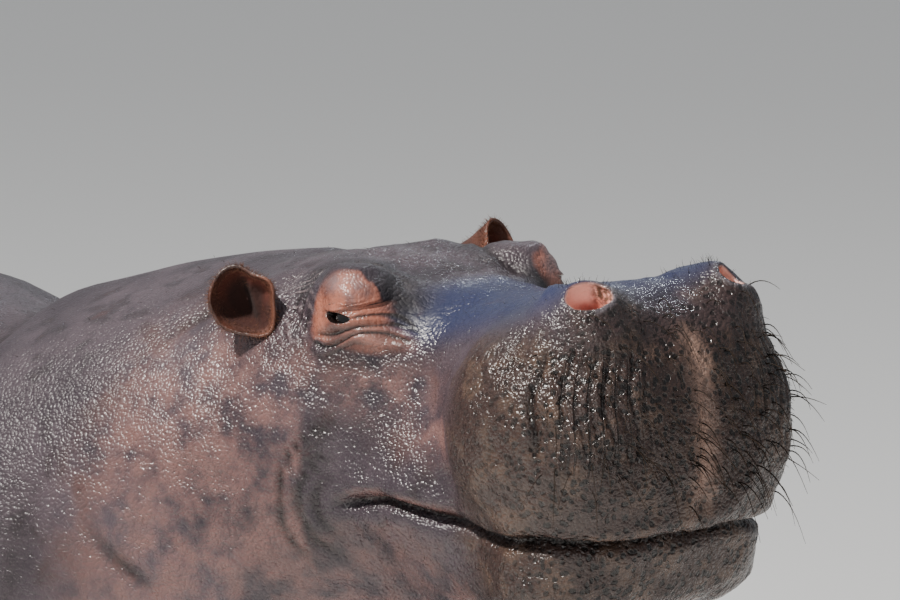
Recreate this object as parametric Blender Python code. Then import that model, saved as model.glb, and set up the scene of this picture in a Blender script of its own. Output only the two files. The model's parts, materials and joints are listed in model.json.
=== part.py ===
"""A hippopotamus standing on its four feet, with its head raised and turned to its right.

The animal faces -Y, its left side is at +X, and its soles are at z = 0. All sizes are metres.

The flesh is modelled whole, as clay: lofted tubes and egg-shaped muscles are pressed together by a
voxel Remesh, smoothed, and thinned by Decimate. It is then parted with thin cuts into its named
pieces, and the eyes, ears and toenails are let into it.
"""

import math

import bmesh
import bpy
import numpy as np
from mathutils import Matrix, Vector

# Driving dimensions
WITHERS = 1.36  # height of the back over the shoulders
EYE_HEIGHT = 1.395  # height of the eye slits
HEAD_TURN = math.radians(17)  # the head's turn to the right of the body
NECK_END = (1.19, 0.075)  # ahead of the body's middle, and to its right: the back of the head
OCCIPUT_TO_EYE = 0.20
EYE_RADIUS = 0.024
EYE_AT = (0.004, 0.161, 0.002)  # the left eye, in the head's frame
EAR_RADIUS = 0.045
# The middle of each cup's opening, its turn forwards on the stalk, its tip's lean backwards, and how
# far the tip is drawn out
EARS = {
    "left": {"middle": (-0.136, 0.235, 0.014), "turn": math.radians(38), "lean": 0.18, "tip": 0.34},
    "right": {"middle": (-0.150, -0.228, 0.014), "turn": 0.0, "lean": 0.24, "tip": 0.10},
}
EAR_SIDES = 14
EAR_LOBE = 0.30  # how far the lobe at the foot of the cup is drawn out
EAR_LOBE_LEAN = 0.38  # radians that the lobe leans forwards
EAR_STALK = 0.085
EAR_PIVOT = 0.060  # the depth, behind the opening, about which a cup is turned
EAR_TWIST_LENGTH = 0.055
EAR_RIM_LEAN = 0.010  # how far the tip hangs back behind the opening
TOE = (0.058, 0.044, 0.055)  # half sizes: long, wide and tall
TOE_HEIGHT = 0.030
NAIL = (0.018, 0.030, 0.032)  # half sizes: thick, wide and tall
NAIL_AT = (0.041, 0, 0.037)  # out along the toe, aside and up
GAP = 0.0003  # between neighbouring pieces
VOXEL = 0.012
FLESH_TRIANGLES = 4050
HEAD_CARE = 0.007  # how far the thinning spares the head
CUT = 0.0006  # width of the cuts between pieces of flesh
RING_SIDES = 40
LENGTH_SHIFT = 0.3138  # puts the origin midway between the lips and the tail

# From the body's frame (+X ahead, +Y left, +Z up, origin on the ground under its middle) to the world
BODY = Matrix(((0, 1, 0, 0), (-1, 0, 0, LENGTH_SHIFT), (0, 0, 1, 0), (0, 0, 0, 1)))

SKIN_COLOUR = (0.155, 0.115, 0.115)
EYE_COLOUR = (0.030, 0.016, 0.010)
NAIL_COLOUR = (0.080, 0.058, 0.046)


def clear_scene():
    for obj in list(bpy.data.objects):
        bpy.data.objects.remove(obj)


def material(name, colour, roughness):
    made = bpy.data.materials.new(name)
    made.use_nodes = True
    shader = made.node_tree.nodes["Principled BSDF"]
    shader.inputs["Base Color"].default_value = (*colour, 1)
    shader.inputs["Roughness"].default_value = roughness
    made.diffuse_color = (*colour, 1)
    return made


def place(ahead, left, up):
    """A point of the body's own frame, in the world."""
    return BODY @ Vector((ahead, left, up))


def head_matrix():
    """From the head's frame (+X ahead, +Y left, +Z up, origin between the eyes) to the world."""
    ahead = Vector((-math.sin(HEAD_TURN), -math.cos(HEAD_TURN), 0))
    up = Vector((0, 0, 1))
    left = up.cross(ahead)
    turn = Matrix((ahead, left, up)).transposed().to_4x4()
    back = place(NECK_END[0], -NECK_END[1], EYE_HEIGHT)
    return Matrix.Translation(back + ahead * OCCIPUT_TO_EYE) @ turn


# ---- Clay ----


def smooth_through(keys, count):
    """Rows of numbers read at even steps from a Catmull-Rom curve through the key rows."""
    keys = np.asarray(keys, float)
    keys = np.vstack([2 * keys[0] - keys[1], keys, 2 * keys[-1] - keys[-2]])
    at = np.linspace(0, len(keys) - 3 - 1e-9, count)
    first = at.astype(int)
    t = (at - first)[:, None]
    a, b, c, d = (keys[first + k] for k in range(4))
    return 0.5 * (2 * b + (c - a) * t + (2 * a - 5 * b + 4 * c - d) * t**2 + (3 * b - a - 3 * c + d) * t**3)


def tube(bm, rings):
    """Closes a list of rings, each a list of points, into one shell."""
    rows = [[bm.verts.new(point) for point in ring] for ring in rings]
    for low, high in zip(rows, rows[1:]):
        for k in range(len(low)):
            after = (k + 1) % len(low)
            bm.faces.new((low[k], low[after], high[after], high[k]))
    bm.faces.new(rows[0][::-1])
    bm.faces.new(rows[-1])


def section(half_width, top, bottom, widest, squareness, sides=RING_SIDES):
    """(across, up) points of a rounded outline that is widest at a share of its height."""
    middle = bottom + (top - bottom) * widest
    points = []
    for k in range(sides):
        turn = 2 * math.pi * k / sides
        c, s = math.cos(turn), math.sin(turn)
        across = half_width * math.copysign(abs(c) ** (2 / squareness), c)
        height = (top - middle) if s > 0 else (middle - bottom)
        points.append((across, middle + height * math.copysign(abs(s) ** (2 / squareness), s)))
    return points


def loft(bm, keys, frame, count):
    """A tube whose keys are (ahead, aside, turn, top, bottom, half width, widest, squareness)."""
    rings = []
    for ahead, aside, turn, top, bottom, half_width, widest, squareness in smooth_through(keys, count):
        ring = []
        for across, up in section(half_width, top, bottom, widest, squareness):
            x = ahead + across * math.sin(turn)
            y = aside + across * math.cos(turn)
            ring.append(frame @ Vector((x, y, up)))
        rings.append(ring)
    tube(bm, rings)


def limb(bm, keys, frame, count=24):
    """A round-ish tube along a path. Its keys are (ahead, aside, up, half length, half width)."""
    rows = smooth_through(keys, count)
    rings = []
    for row in rows:
        ring = []
        for k in range(RING_SIDES):
            turn = 2 * math.pi * k / RING_SIDES
            x, y = row[3] * math.cos(turn), row[4] * math.sin(turn)
            ring.append(frame @ Vector((row[0] + x, row[1] - y, row[2])))
        rings.append(ring)
    tube(bm, rings)


def lump(bm, frame, at, size, pitch=0.0, yaw=0.0, roll=0.0):
    """An egg of clay: its centre, its half sizes ahead, aside and up, and its turns in degrees."""
    turn = (
        Matrix.Rotation(math.radians(yaw), 4, "Z")
        @ Matrix.Rotation(math.radians(-pitch), 4, "Y")
        @ Matrix.Rotation(math.radians(roll), 4, "X")
    )
    matrix = frame @ Matrix.Translation(at) @ turn @ Matrix.Diagonal((*size, 1))
    bmesh.ops.create_icosphere(bm, subdivisions=4, radius=1, matrix=matrix)


def both_sides(bm, frame, at, size, pitch=0.0, yaw=0.0, roll=0.0):
    ahead, aside, up = at
    lump(bm, frame, at, size, pitch, yaw, roll)
    lump(bm, frame, (ahead, -aside, up), size, pitch, -yaw, -roll)


def torso_clay(bm):
    """The barrel of the body and the thick neck, which rises to the head and swings to the right."""
    half_turn = HEAD_TURN / 2
    end_ahead, end_right = NECK_END
    keys = [
        # ahead, aside, turn, top, bottom, half width, widest, squareness
        (-1.165, 0, 0, WITHERS - 0.30, 0.93, 0.06, 0.5, 2.0),
        (-1.14, 0, 0, WITHERS - 0.19, 0.80, 0.19, 0.5, 2.1),
        (-1.05, 0, 0, WITHERS - 0.075, 0.66, 0.32, 0.5, 2.2),
        (-0.84, 0, 0, WITHERS + 0.005, 0.54, 0.43, 0.48, 2.25),
        (-0.52, 0, 0, WITHERS + 0.03, 0.44, 0.505, 0.46, 2.25),
        (-0.15, 0, 0, WITHERS + 0.015, 0.395, 0.535, 0.45, 2.25),
        (0.20, 0, 0, WITHERS - 0.01, 0.40, 0.52, 0.45, 2.25),
        (0.44, 0, 0, WITHERS - 0.025, 0.43, 0.480, 0.47, 2.25),
        (0.55, 0, 0, WITHERS - 0.048, 0.445, 0.455, 0.48, 2.2),
        (0.635, 0, 0, WITHERS - 0.070, 0.465, 0.436, 0.49, 2.2),
        (0.72, 0, 0, WITHERS - 0.030, 0.50, 0.418, 0.51, 2.2),
        (0.84, -0.002, -0.2 * half_turn, WITHERS + 0.012, 0.56, 0.392, 0.53, 2.2),
        (0.98, -0.016, -0.8 * half_turn, WITHERS + 0.047, 0.65, 0.360, 0.55, 2.25),
        (1.11, -0.045, -1.5 * half_turn, WITHERS + 0.070, 0.77, 0.322, 0.57, 2.25),
        (end_ahead, -end_right, -HEAD_TURN, WITHERS + 0.074, 0.87, 0.280, 0.58, 2.1),
        (end_ahead + 0.09, -end_right - 0.027, -HEAD_TURN, WITHERS + 0.066, 0.98, 0.215, 0.58, 2.2),
    ]
    loft(bm, keys, BODY, 72)
    lump(bm, BODY, (0.40, 0, 1.17), (0.250, 0.34, 0.155))  # the hump of the shoulders


def head_clay(bm, frame):
    """Skull, snout, jaws and cheeks, in the head's own frame. Heights are from the eye slits."""
    upper = [
        # ahead, aside, turn, top, bottom, half width, widest, squareness
        (-0.38, 0, 0, -0.02, -0.28, 0.120, 0.60, 2.2),
        (-0.30, 0, 0, 0.022, -0.34, 0.180, 0.60, 2.15),
        (-0.20, 0, 0, 0.048, -0.36, 0.195, 0.62, 2.15),
        (-0.10, 0, 0, 0.062, -0.34, 0.185, 0.62, 2.3),
        (0.00, 0, 0, 0.050, -0.31, 0.168, 0.60, 2.5),
        (0.10, 0, 0, 0.040, -0.28, 0.145, 0.52, 2.5),
        (0.20, 0, 0, 0.047, -0.26, 0.155, 0.44, 2.6),
        (0.29, 0, 0, 0.067, -0.26, 0.190, 0.44, 2.6),
        (0.37, 0, 0, 0.080, -0.26, 0.214, 0.42, 2.5),
        (0.44, 0, 0, 0.050, -0.25, 0.203, 0.42, 2.4),
        (0.487, 0, 0, 0.000, -0.22, 0.155, 0.44, 2.4),
        (0.505, 0, 0, -0.06, -0.17, 0.070, 0.45, 2.2),
    ]
    loft(bm, upper, frame, 60)
    jaw = [
        (-0.22, 0, 0, -0.12, -0.37, 0.16, 0.5, 2.2),
        (-0.12, 0, 0, -0.14, -0.42, 0.185, 0.5, 2.3),
        (0.00, 0, 0, -0.17, -0.42, 0.165, 0.5, 2.3),
        (0.12, 0, 0, -0.19, -0.395, 0.150, 0.5, 2.3),
        (0.24, 0, 0, -0.20, -0.375, 0.165, 0.5, 2.5),
        (0.34, 0, 0, -0.21, -0.360, 0.190, 0.5, 2.6),
        (0.42, 0, 0, -0.21, -0.335, 0.165, 0.5, 2.5),
        (0.455, 0, 0, -0.22, -0.300, 0.110, 0.5, 2.3),
    ]
    loft(bm, jaw, frame, 40)
    both_sides(bm, frame, (-0.018, 0.137, 0.025), (0.068, 0.054, 0.052))  # brows
    both_sides(bm, frame, (-0.100, 0.072, 0.006), (0.108, 0.076, 0.061))  # crown, between brows and ears
    both_sides(bm, frame, (-0.050, 0.132, -0.090), (0.150, 0.074, 0.120), pitch=4)  # cheekbones
    both_sides(bm, frame, (-0.120, 0.125, -0.200), (0.195, 0.128, 0.215), pitch=-8)  # jaw muscles
    both_sides(bm, frame, (0.090, 0.098, -0.215), (0.180, 0.100, 0.115))  # corners of the mouth
    both_sides(bm, frame, (0.340, 0.126, -0.103), (0.156, 0.107, 0.150), pitch=4, yaw=-3)  # upper lips
    both_sides(bm, frame, (0.392, 0.090, -0.120), (0.112, 0.122, 0.128))  # front of the lips
    both_sides(bm, frame, (0.390, 0.108, 0.042), (0.082, 0.063, 0.057), pitch=-3)  # nostril mounds
    both_sides(bm, frame, (0.345, 0.105, -0.285), (0.105, 0.092, 0.070))  # lower lips
    both_sides(bm, frame, (-0.175, 0.145, -0.010), (0.070, 0.048, 0.050))  # ear roots


def leg_frame(leg):
    return BODY @ Matrix.Translation((leg["ahead"], 0, 0)) @ Matrix.Diagonal((1, leg["side"], 1, 1))


def front_leg_clay(bm, leg):
    frame = leg_frame(leg)
    lump(bm, frame, (-0.035, 0.265, 0.88), (0.245, 0.190, 0.36), pitch=-6)  # shoulder
    limb(
        bm,
        [
            # ahead, aside, up, half length, half width
            (-0.055, 0.250, 0.78, 0.185, 0.140),
            (-0.050, 0.265, 0.60, 0.168, 0.135),
            (-0.035, 0.270, 0.44, 0.132, 0.120),
            (-0.023, 0.272, 0.30, 0.108, 0.106),
            (-0.020, 0.272, 0.20, 0.104, 0.108),
            (-0.010, 0.272, 0.11, 0.116, 0.124),
            (0.000, 0.272, 0.045, 0.130, 0.138),
            (0.000, 0.272, -0.03, 0.130, 0.138),
        ],
        frame,
    )


def hind_leg_clay(bm, leg):
    frame = leg_frame(leg)
    lump(bm, frame, (0.030, 0.255, 0.86), (0.320, 0.215, 0.37), pitch=10)  # thigh
    limb(
        bm,
        [
            (0.095, 0.240, 0.80, 0.230, 0.150),
            (0.095, 0.255, 0.62, 0.200, 0.142),
            (0.030, 0.265, 0.47, 0.145, 0.120),
            (-0.030, 0.268, 0.34, 0.112, 0.102),
            (-0.040, 0.268, 0.24, 0.101, 0.098),
            (-0.020, 0.268, 0.14, 0.106, 0.110),
            (0.000, 0.268, 0.05, 0.124, 0.128),
            (0.000, 0.268, -0.03, 0.124, 0.128),
        ],
        frame,
    )


# Each foot's place, and the ring its four toes stand on
LEGS = {
    "front_left": {"ahead": 0.645, "side": 1, "aside": 0.272, "toe_ring": 0.111, "clay": front_leg_clay},
    "front_right": {"ahead": 0.600, "side": -1, "aside": 0.272, "toe_ring": 0.111, "clay": front_leg_clay},
    "hind_left": {"ahead": -0.830, "side": 1, "aside": 0.268, "toe_ring": 0.103, "clay": hind_leg_clay},
    "hind_right": {"ahead": -0.765, "side": -1, "aside": 0.268, "toe_ring": 0.103, "clay": hind_leg_clay},
}
TOE_HEADINGS = {"inner": -60, "inner_middle": -21, "outer_middle": 21, "outer": 60}


def toe_frame(leg, heading):
    """A frame at one toe's end of the ring, on the ground, with +X out along the toe."""
    foot = leg_frame(leg) @ Matrix.Translation((0, leg["aside"], 0))
    turn = Matrix.Rotation(math.radians(heading), 4, "Z")
    return foot @ turn @ Matrix.Translation((leg["toe_ring"], 0, 0))


def toes_clay(bm, leg):
    for heading in TOE_HEADINGS.values():
        lump(bm, toe_frame(leg, heading), (0, 0, TOE_HEIGHT), TOE)


def tail_clay(bm):
    keys = [
        (-1.07, 0, 1.20, 0.060, 0.085),
        (-1.175, 0, 1.15, 0.050, 0.070),
        (-1.225, 0, 1.06, 0.038, 0.052),
        (-1.238, 0, 0.95, 0.031, 0.038),
        (-1.236, 0, 0.85, 0.028, 0.029),
        (-1.232, 0, 0.77, 0.036, 0.020),
        (-1.232, 0, 0.73, 0.020, 0.014),
    ]
    limb(bm, keys, BODY, 26)


def new_object(name, mesh):
    made = bpy.data.objects.new(name, mesh)
    bpy.context.scene.collection.objects.link(made)
    return made


def from_bmesh(name, bm):
    bmesh.ops.recalc_face_normals(bm, faces=bm.faces)
    mesh = bpy.data.meshes.new(name)
    bm.to_mesh(mesh)
    bm.free()
    return new_object(name, mesh)


def evaluated_mesh(obj):
    return bpy.data.meshes.new_from_object(obj.evaluated_get(bpy.context.evaluated_depsgraph_get()))


def flesh_clay():
    bm = bmesh.new()
    torso_clay(bm)
    head_clay(bm, head_matrix())
    for leg in LEGS.values():
        leg["clay"](bm, leg)
        toes_clay(bm, leg)
    tail_clay(bm)
    return from_bmesh("clay", bm)


def pressed_flesh():
    """The clay fused into one skin and thinned, with the finest faces kept on the head."""
    clay = flesh_clay()
    remesh = clay.modifiers.new("fuse", "REMESH")
    remesh.mode = "VOXEL"
    remesh.voxel_size = VOXEL
    smooth = clay.modifiers.new("soften", "SMOOTH")
    smooth.factor = 0.5
    smooth.iterations = 16
    flesh = new_object("flesh", evaluated_mesh(clay))
    bpy.data.objects.remove(clay)
    group = flesh.vertex_groups.new(name="detail")
    from_head = head_matrix().inverted()
    for vertex in flesh.data.vertices:
        ahead = (from_head @ vertex.co).x
        on_head = min(max((ahead + 0.30) / 0.15, 0), 1)
        group.add([vertex.index], 1 - 0.9 * on_head, "REPLACE")
    thin = flesh.modifiers.new("thin", "DECIMATE")
    thin.ratio = FLESH_TRIANGLES / (2 * len(flesh.data.polygons))
    thin.vertex_group = "detail"
    thin.vertex_group_factor = HEAD_CARE
    return flesh


# ---- Parting the flesh ----


def wall(bm, frame, path, low, high):
    """A thin bent wall. Its path is (across, up) points, carried along the frame's X from low to high."""
    points = [Vector((0, across, up)) for across, up in path]
    sides = []
    for k, point in enumerate(points):
        run = (points[min(k + 1, len(points) - 1)] - points[max(k - 1, 0)]).normalized()
        across = Vector((0, -run.z, run.y)) * (CUT / 2)
        sides.append((point + across, point - across))
    outline = [pair[0] for pair in sides] + [pair[1] for pair in reversed(sides)]
    ends = [Vector((along, 0, 0)) for along in (low, high)]
    tube(bm, [[frame @ (end + point) for point in outline] for end in ends])


def crosswise(frame):
    """The frame turned so that a wall's path lies in its own ahead-and-up plane."""
    return frame @ Matrix(((0, 1, 0, 0), (-1, 0, 0, 0), (0, 0, 1, 0), (0, 0, 0, 1)))


def parting_cuts(bm):
    head = head_matrix()
    wall(bm, crosswise(BODY), [(0.66, 1.60), (0.70, 1.25), (0.84, 0.85), (0.95, 0.40)], -0.5, 0.5)  # neck
    wall(bm, crosswise(head), [(-0.275, 0.20), (-0.255, -0.20), (-0.22, -0.75)], -0.5, 0.5)  # head
    mouth = [(0.60, -0.236), (0.25, -0.234), (0.10, -0.218), (0.03, -0.235), (-0.01, -0.30), (-0.02, -0.50)]
    wall(bm, crosswise(head), mouth, -0.32, 0.32)
    wall(bm, crosswise(BODY), [(-1.184, 1.35), (-1.184, 0.90)], -0.15, 0.15)  # tail
    belly = [(0.06, 0.375), (0.15, 0.405), (0.27, 0.45), (0.38, 0.52), (0.47, 0.62), (0.60, 0.78)]
    for name, leg in LEGS.items():
        hind = name.startswith("hind")
        wall(bm, leg_frame(leg), belly, -0.27, 0.29 if hind else 0.22)


def sphere(bm, frame, at, size, sides, rings, swell=0.0):
    matrix = frame @ Matrix.Translation(at) @ Matrix.Diagonal((*(half + swell for half in size), 1))
    bmesh.ops.create_uvsphere(bm, u_segments=sides, v_segments=rings, radius=1, matrix=matrix)


def eye_shape(bm, side, swell=0.0):
    sphere(bm, head_matrix(), (EYE_AT[0], side * EYE_AT[1], EYE_AT[2]), (EYE_RADIUS,) * 3, 12, 8, swell)


def nail_shape(bm, leg, heading, swell=0.0):
    sphere(bm, toe_frame(leg, heading), NAIL_AT, NAIL, 8, 5, swell)


def each_nail():
    for foot, leg in LEGS.items():
        for toe, heading in TOE_HEADINGS.items():
            yield "nail_%s_%s" % (foot, toe), leg, heading


def cutters():
    """Everything taken out of the flesh: the cuts, the sockets, and the ground under the soles."""
    bm = bmesh.new()
    parting_cuts(bm)
    for side in (1, -1):
        eye_shape(bm, side, GAP)
    for _, leg, heading in each_nail():
        nail_shape(bm, leg, heading, GAP)
    ground = Matrix.Translation((0, 0, -0.10)) @ Matrix.Diagonal((3, 5, 0.20, 1))
    bmesh.ops.create_cube(bm, size=1, matrix=ground)
    made = from_bmesh("cutters", bm)
    made.hide_render = True
    made.display_type = "WIRE"
    return made


def islands(mesh):
    """The separate bodies of a mesh, each a list of face indices."""
    at_vertex = [[] for _ in mesh.vertices]
    for face in mesh.polygons:
        for vertex in face.vertices:
            at_vertex[vertex].append(face.index)
    seen = set()
    for start in range(len(mesh.polygons)):
        if start in seen:
            continue
        seen.add(start)
        body, queue = [], [start]
        while queue:
            index = queue.pop()
            body.append(index)
            for vertex in mesh.polygons[index].vertices:
                for other in at_vertex[vertex]:
                    if other not in seen:
                        seen.add(other)
                        queue.append(other)
        yield body


def piece_of(mesh, body, name):
    used = sorted({vertex for index in body for vertex in mesh.polygons[index].vertices})
    renumber = {old: new for new, old in enumerate(used)}
    faces = [[renumber[vertex] for vertex in mesh.polygons[index].vertices] for index in body]
    made = bpy.data.meshes.new(name)
    made.from_pydata([mesh.vertices[old].co for old in used], [], faces)
    return new_object(name, made)


def part_flesh(flesh):
    """Cuts the flesh and names each body after the mark that lies nearest to its middle."""
    cut = flesh.modifiers.new("part", "BOOLEAN")
    cut.operation = "DIFFERENCE"
    cut.object = cutters()
    whole = evaluated_mesh(flesh)
    head = head_matrix()
    marks = {
        "trunk": place(-0.2, 0, 0.9),
        "neck": place(0.97, -0.02, 1.05),
        "head": head @ Vector((0.1, 0, -0.08)),
        "lower_jaw": head @ Vector((0.25, 0, -0.29)),
        "tail": place(-1.235, 0, 0.95),
    }
    for name, leg in LEGS.items():
        marks["leg_" + name] = leg_frame(leg) @ Vector((0, leg["aside"], 0.25))
    pieces = {}
    for body in sorted(islands(whole), key=len, reverse=True):
        middle = sum((whole.polygons[index].center for index in body), Vector()) / len(body)
        name = min(marks, key=lambda mark: (marks[mark] - middle).length)
        if name not in pieces:  # a second one is a crumb of toe beside a nail, and is left out
            pieces[name] = piece_of(whole, body, name)
    bpy.data.objects.remove(cut.object)
    bpy.data.objects.remove(flesh)
    return pieces


# ---- Eyes, nails and ears ----


def side_word(side):
    return "left" if side > 0 else "right"


def ear_frame(side):
    """At the middle of an ear's opening: +X looks out of the cup, +Z is towards the ear's tip."""
    out = Vector((0.62, side * 0.77, 0.12)).normalized()
    tip = Vector((-0.22, side * 0.30, 1.0))
    tip = (tip - out * tip.dot(out)).normalized()
    turn = Matrix((out, tip.cross(out), tip)).transposed().to_4x4()
    return head_matrix() @ Matrix.Translation(EARS[side_word(side)]["middle"]) @ turn


def ear_outline(turn, side):
    """The cup's radius over the plain one: a tip above, and a long lobe below and ahead."""
    shape = EARS[side_word(side)]
    tip = max(math.cos(turn - side * shape["lean"]), 0)
    lobe = max(-math.cos(turn - side * EAR_LOBE_LEAN), 0)
    return 1 + shape["tip"] * tip**5 + EAR_LOBE * lobe**7


def ear_turned(point, side):
    """A point of the cup, turned forwards about the stalk the more, the nearer it is to the opening."""
    share = min(max((point.x + EAR_STALK) / EAR_TWIST_LENGTH, 0), 1)
    angle = -side * EARS[side_word(side)]["turn"] * share * share * (3 - 2 * share)
    pivot = Vector((-EAR_PIVOT, 0, 0))
    return pivot + Matrix.Rotation(angle, 3, "Z") @ (point - pivot)


def ear(name, side, head):
    """A thick round cup on a stalk. The stalk is trimmed where it meets the head."""
    profile = [
        # depth behind the opening, share of the full radius
        (0.105, 0.36),
        (0.075, 0.50),
        (0.048, 0.66),
        (0.024, 0.84),
        (0.008, 0.97),
        (0.000, 1.00),
        (-0.003, 0.92),
        (0.004, 0.80),
        (0.018, 0.64),
        (0.032, 0.42),
        (0.038, 0.20),
    ]
    frame = ear_frame(side)
    rings = []
    for depth, share in profile:
        ring = []
        for k in range(EAR_SIDES):
            turn = 2 * math.pi * k / EAR_SIDES
            radius = EAR_RADIUS * share * ear_outline(turn, side)
            lean = -EAR_RIM_LEAN * max(math.cos(turn), 0) ** 2 * share
            point = Vector((lean - depth, radius * math.sin(turn), radius * math.cos(turn)))
            ring.append(frame @ ear_turned(point, side))
        rings.append(ring)
    bm = bmesh.new()
    tube(bm, rings)
    made = from_bmesh(name, bm)
    swollen = new_object("swollen_head", head.data.copy())
    swell = swollen.modifiers.new("swell", "DISPLACE")
    swell.mid_level = 0
    swell.strength = 2 * GAP
    trim = made.modifiers.new("trim", "BOOLEAN")
    trim.operation = "DIFFERENCE"
    trim.object = swollen
    made.data = evaluated_mesh(made)
    made.modifiers.clear()
    bpy.data.objects.remove(swollen)
    return made


def eye(name, side):
    bm = bmesh.new()
    eye_shape(bm, side)
    return from_bmesh(name, bm)


def nail(name, leg, heading):
    bm = bmesh.new()
    nail_shape(bm, leg, heading)
    return from_bmesh(name, bm)


def finish(obj, look):
    obj.data.materials.clear()
    obj.data.materials.append(look)
    obj.data.shade_smooth()
    obj.data.set_sharp_from_angle(angle=math.radians(50))


def main():
    clear_scene()
    skin = material("skin", SKIN_COLOUR, 0.45)
    eye_look = material("eye", EYE_COLOUR, 0.08)
    nail_look = material("nail", NAIL_COLOUR, 0.5)
    pieces = part_flesh(pressed_flesh())
    for side in (1, -1):
        word = side_word(side)
        pieces["ear_" + word] = ear("ear_" + word, side, pieces["head"])
        finish(eye("eye_" + word, side), eye_look)
    for piece in pieces.values():
        finish(piece, skin)
    for name, leg, heading in each_nail():
        finish(nail(name, leg, heading), nail_look)


main()
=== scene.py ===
import json
import math

import bpy
import numpy as np
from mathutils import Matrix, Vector


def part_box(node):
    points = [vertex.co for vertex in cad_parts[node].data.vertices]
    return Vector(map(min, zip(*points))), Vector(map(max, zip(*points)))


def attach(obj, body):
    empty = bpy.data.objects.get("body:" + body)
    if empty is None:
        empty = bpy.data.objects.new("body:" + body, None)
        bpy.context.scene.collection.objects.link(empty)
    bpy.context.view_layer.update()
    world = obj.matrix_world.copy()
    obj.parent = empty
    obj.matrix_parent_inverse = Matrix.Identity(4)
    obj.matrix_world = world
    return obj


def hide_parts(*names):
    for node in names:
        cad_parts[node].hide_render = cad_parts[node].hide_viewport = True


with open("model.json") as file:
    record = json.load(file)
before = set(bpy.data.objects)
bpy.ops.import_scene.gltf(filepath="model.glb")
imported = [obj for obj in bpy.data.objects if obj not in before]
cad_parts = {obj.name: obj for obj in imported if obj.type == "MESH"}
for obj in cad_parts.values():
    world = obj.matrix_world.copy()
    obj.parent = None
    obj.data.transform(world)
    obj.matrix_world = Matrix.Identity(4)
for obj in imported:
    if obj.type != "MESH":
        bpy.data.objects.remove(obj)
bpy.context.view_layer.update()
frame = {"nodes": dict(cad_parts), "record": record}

# A life-size hippopotamus. One skin stands for all the flesh; the eyes, the toenails and the bristles are
# pieces of their own. The head's own axes are ahead, left and up, in metres, with the origin between the
# eyes. A sided place has its left value counted outwards, so that it serves both sides.

fleshNodes = ["trunk", "neck", "head", "lower_jaw", "tail", "leg_front_left", "leg_front_right",
              "leg_hind_left", "leg_hind_right", "ear_left", "ear_right"]
sideSigns = {"left": 1.0, "right": -1.0}
footMiddles = {mount["name"].replace("sole_", ""): np.array(mount["pos_m"][:2])
               for mount in frame["record"]["mounts"] if mount["name"].startswith("sole_")}
feet = ["front_left", "front_right", "hind_left", "hind_right"]


def middleOf(node):
    return np.mean(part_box(node), axis=0)


# the head's axes, from its two eyes
eyeSeat = np.array((0.004, 0.161, 0.002))  # an eyeball's middle, sided
eyeRadius = (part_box("eye_left")[1].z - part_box("eye_left")[0].z) / 2
headUp = np.array((0.0, 0.0, 1.0))
headLeft = middleOf("eye_left") - middleOf("eye_right")
headLeft = headLeft / np.linalg.norm(headLeft)
headAxes = np.array((np.cross(headLeft, headUp), headLeft, headUp))
headOrigin = (middleOf("eye_left") + middleOf("eye_right")) / 2 - eyeSeat * (1, 0, 1) @ headAxes


def toHead(points):
    # points as places in the head's axes
    return (points - headOrigin) @ headAxes.T


def fromHead(places):
    return headOrigin + places @ headAxes


def sided(places, sign):
    return places * np.array((1.0, sign, 1.0))


def sidedPlaces(points):
    # sided places on the head, and the side that each is on: 1 is left and -1 right
    place = toHead(points)
    side = np.sign(place[:, 1])
    place[:, 1] = np.abs(place[:, 1])
    return place, side


# curves used all over
def rise(value, low, high):
    # 0 below low and 1 above high, with a smooth S between them
    share = np.clip((value - low) / (high - low), 0.0, 1.0)
    return share * share * (3 - 2 * share)


def between(value, lowest, low, high, highest):
    # 1 from low to high, and smoothly down to 0 at lowest and highest
    return rise(value, lowest, low) * (1 - rise(value, high, highest))


def bell(value, width):
    # 1 at 0, falling to a third at width on both sides
    return np.exp(-(value / width) ** 2)


def lump(places, middle, width, stretch=(1, 1, 1)):
    # a bell of the distance from a middle, wider along each axis by its stretch
    return bell(np.linalg.norm((places - np.array(middle)) / np.array(stretch), axis=1), width)


def lobe(turn, bearing, power):
    # 1 at a bearing in degrees, falling to 0 a quarter turn away, and narrower for a higher power
    return np.clip(np.cos(turn - math.radians(bearing)), 0, None) ** power


def oval(turn, across, up):
    # points round an ellipse with these half sizes
    return np.stack((across * np.cos(turn), up * np.sin(turn)), axis=-1)


def fatter(one, other, soft):
    # the larger of two values, with the corner between them rounded over soft
    near = np.clip(soft - np.abs(one - other), 0, None) / soft
    return np.maximum(one, other) + near * near * soft / 4


def unit(vectors):
    return vectors / np.maximum(np.linalg.norm(vectors, axis=-1, keepdims=True), 1e-12)


def framed(facing, along):
    # three square directions: along, beside it, and the one it faces
    facing = unit(np.array(facing, float))
    along = unit(np.array(along, float) - facing * np.dot(along, facing))
    return np.array((along, np.cross(facing, along), facing))


def lumpy(points, wavelength, seed):
    # the sum of 14 sine waves of about this length, in random directions: smooth, uneven, about -1 to 1
    chance = np.random.default_rng(seed)
    ways = unit(chance.normal(size=(14, 3))) * (2 * math.pi / wavelength) * chance.uniform(0.6, 1.5, (14, 1))
    return np.sin(points @ ways.T + chance.uniform(0, 2 * math.pi, 14)).sum(axis=1) / 3.7


# triangle meshes as arrays
def arraysOf(mesh):
    mesh.calc_loop_triangles()
    points = np.empty(len(mesh.vertices) * 3, np.float32)
    mesh.vertices.foreach_get("co", points)
    faces = np.empty(len(mesh.loop_triangles) * 3, np.int32)
    mesh.loop_triangles.foreach_get("vertices", faces)
    return points.reshape(-1, 3).astype(float), faces.reshape(-1, 3).astype(np.int64)


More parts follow.
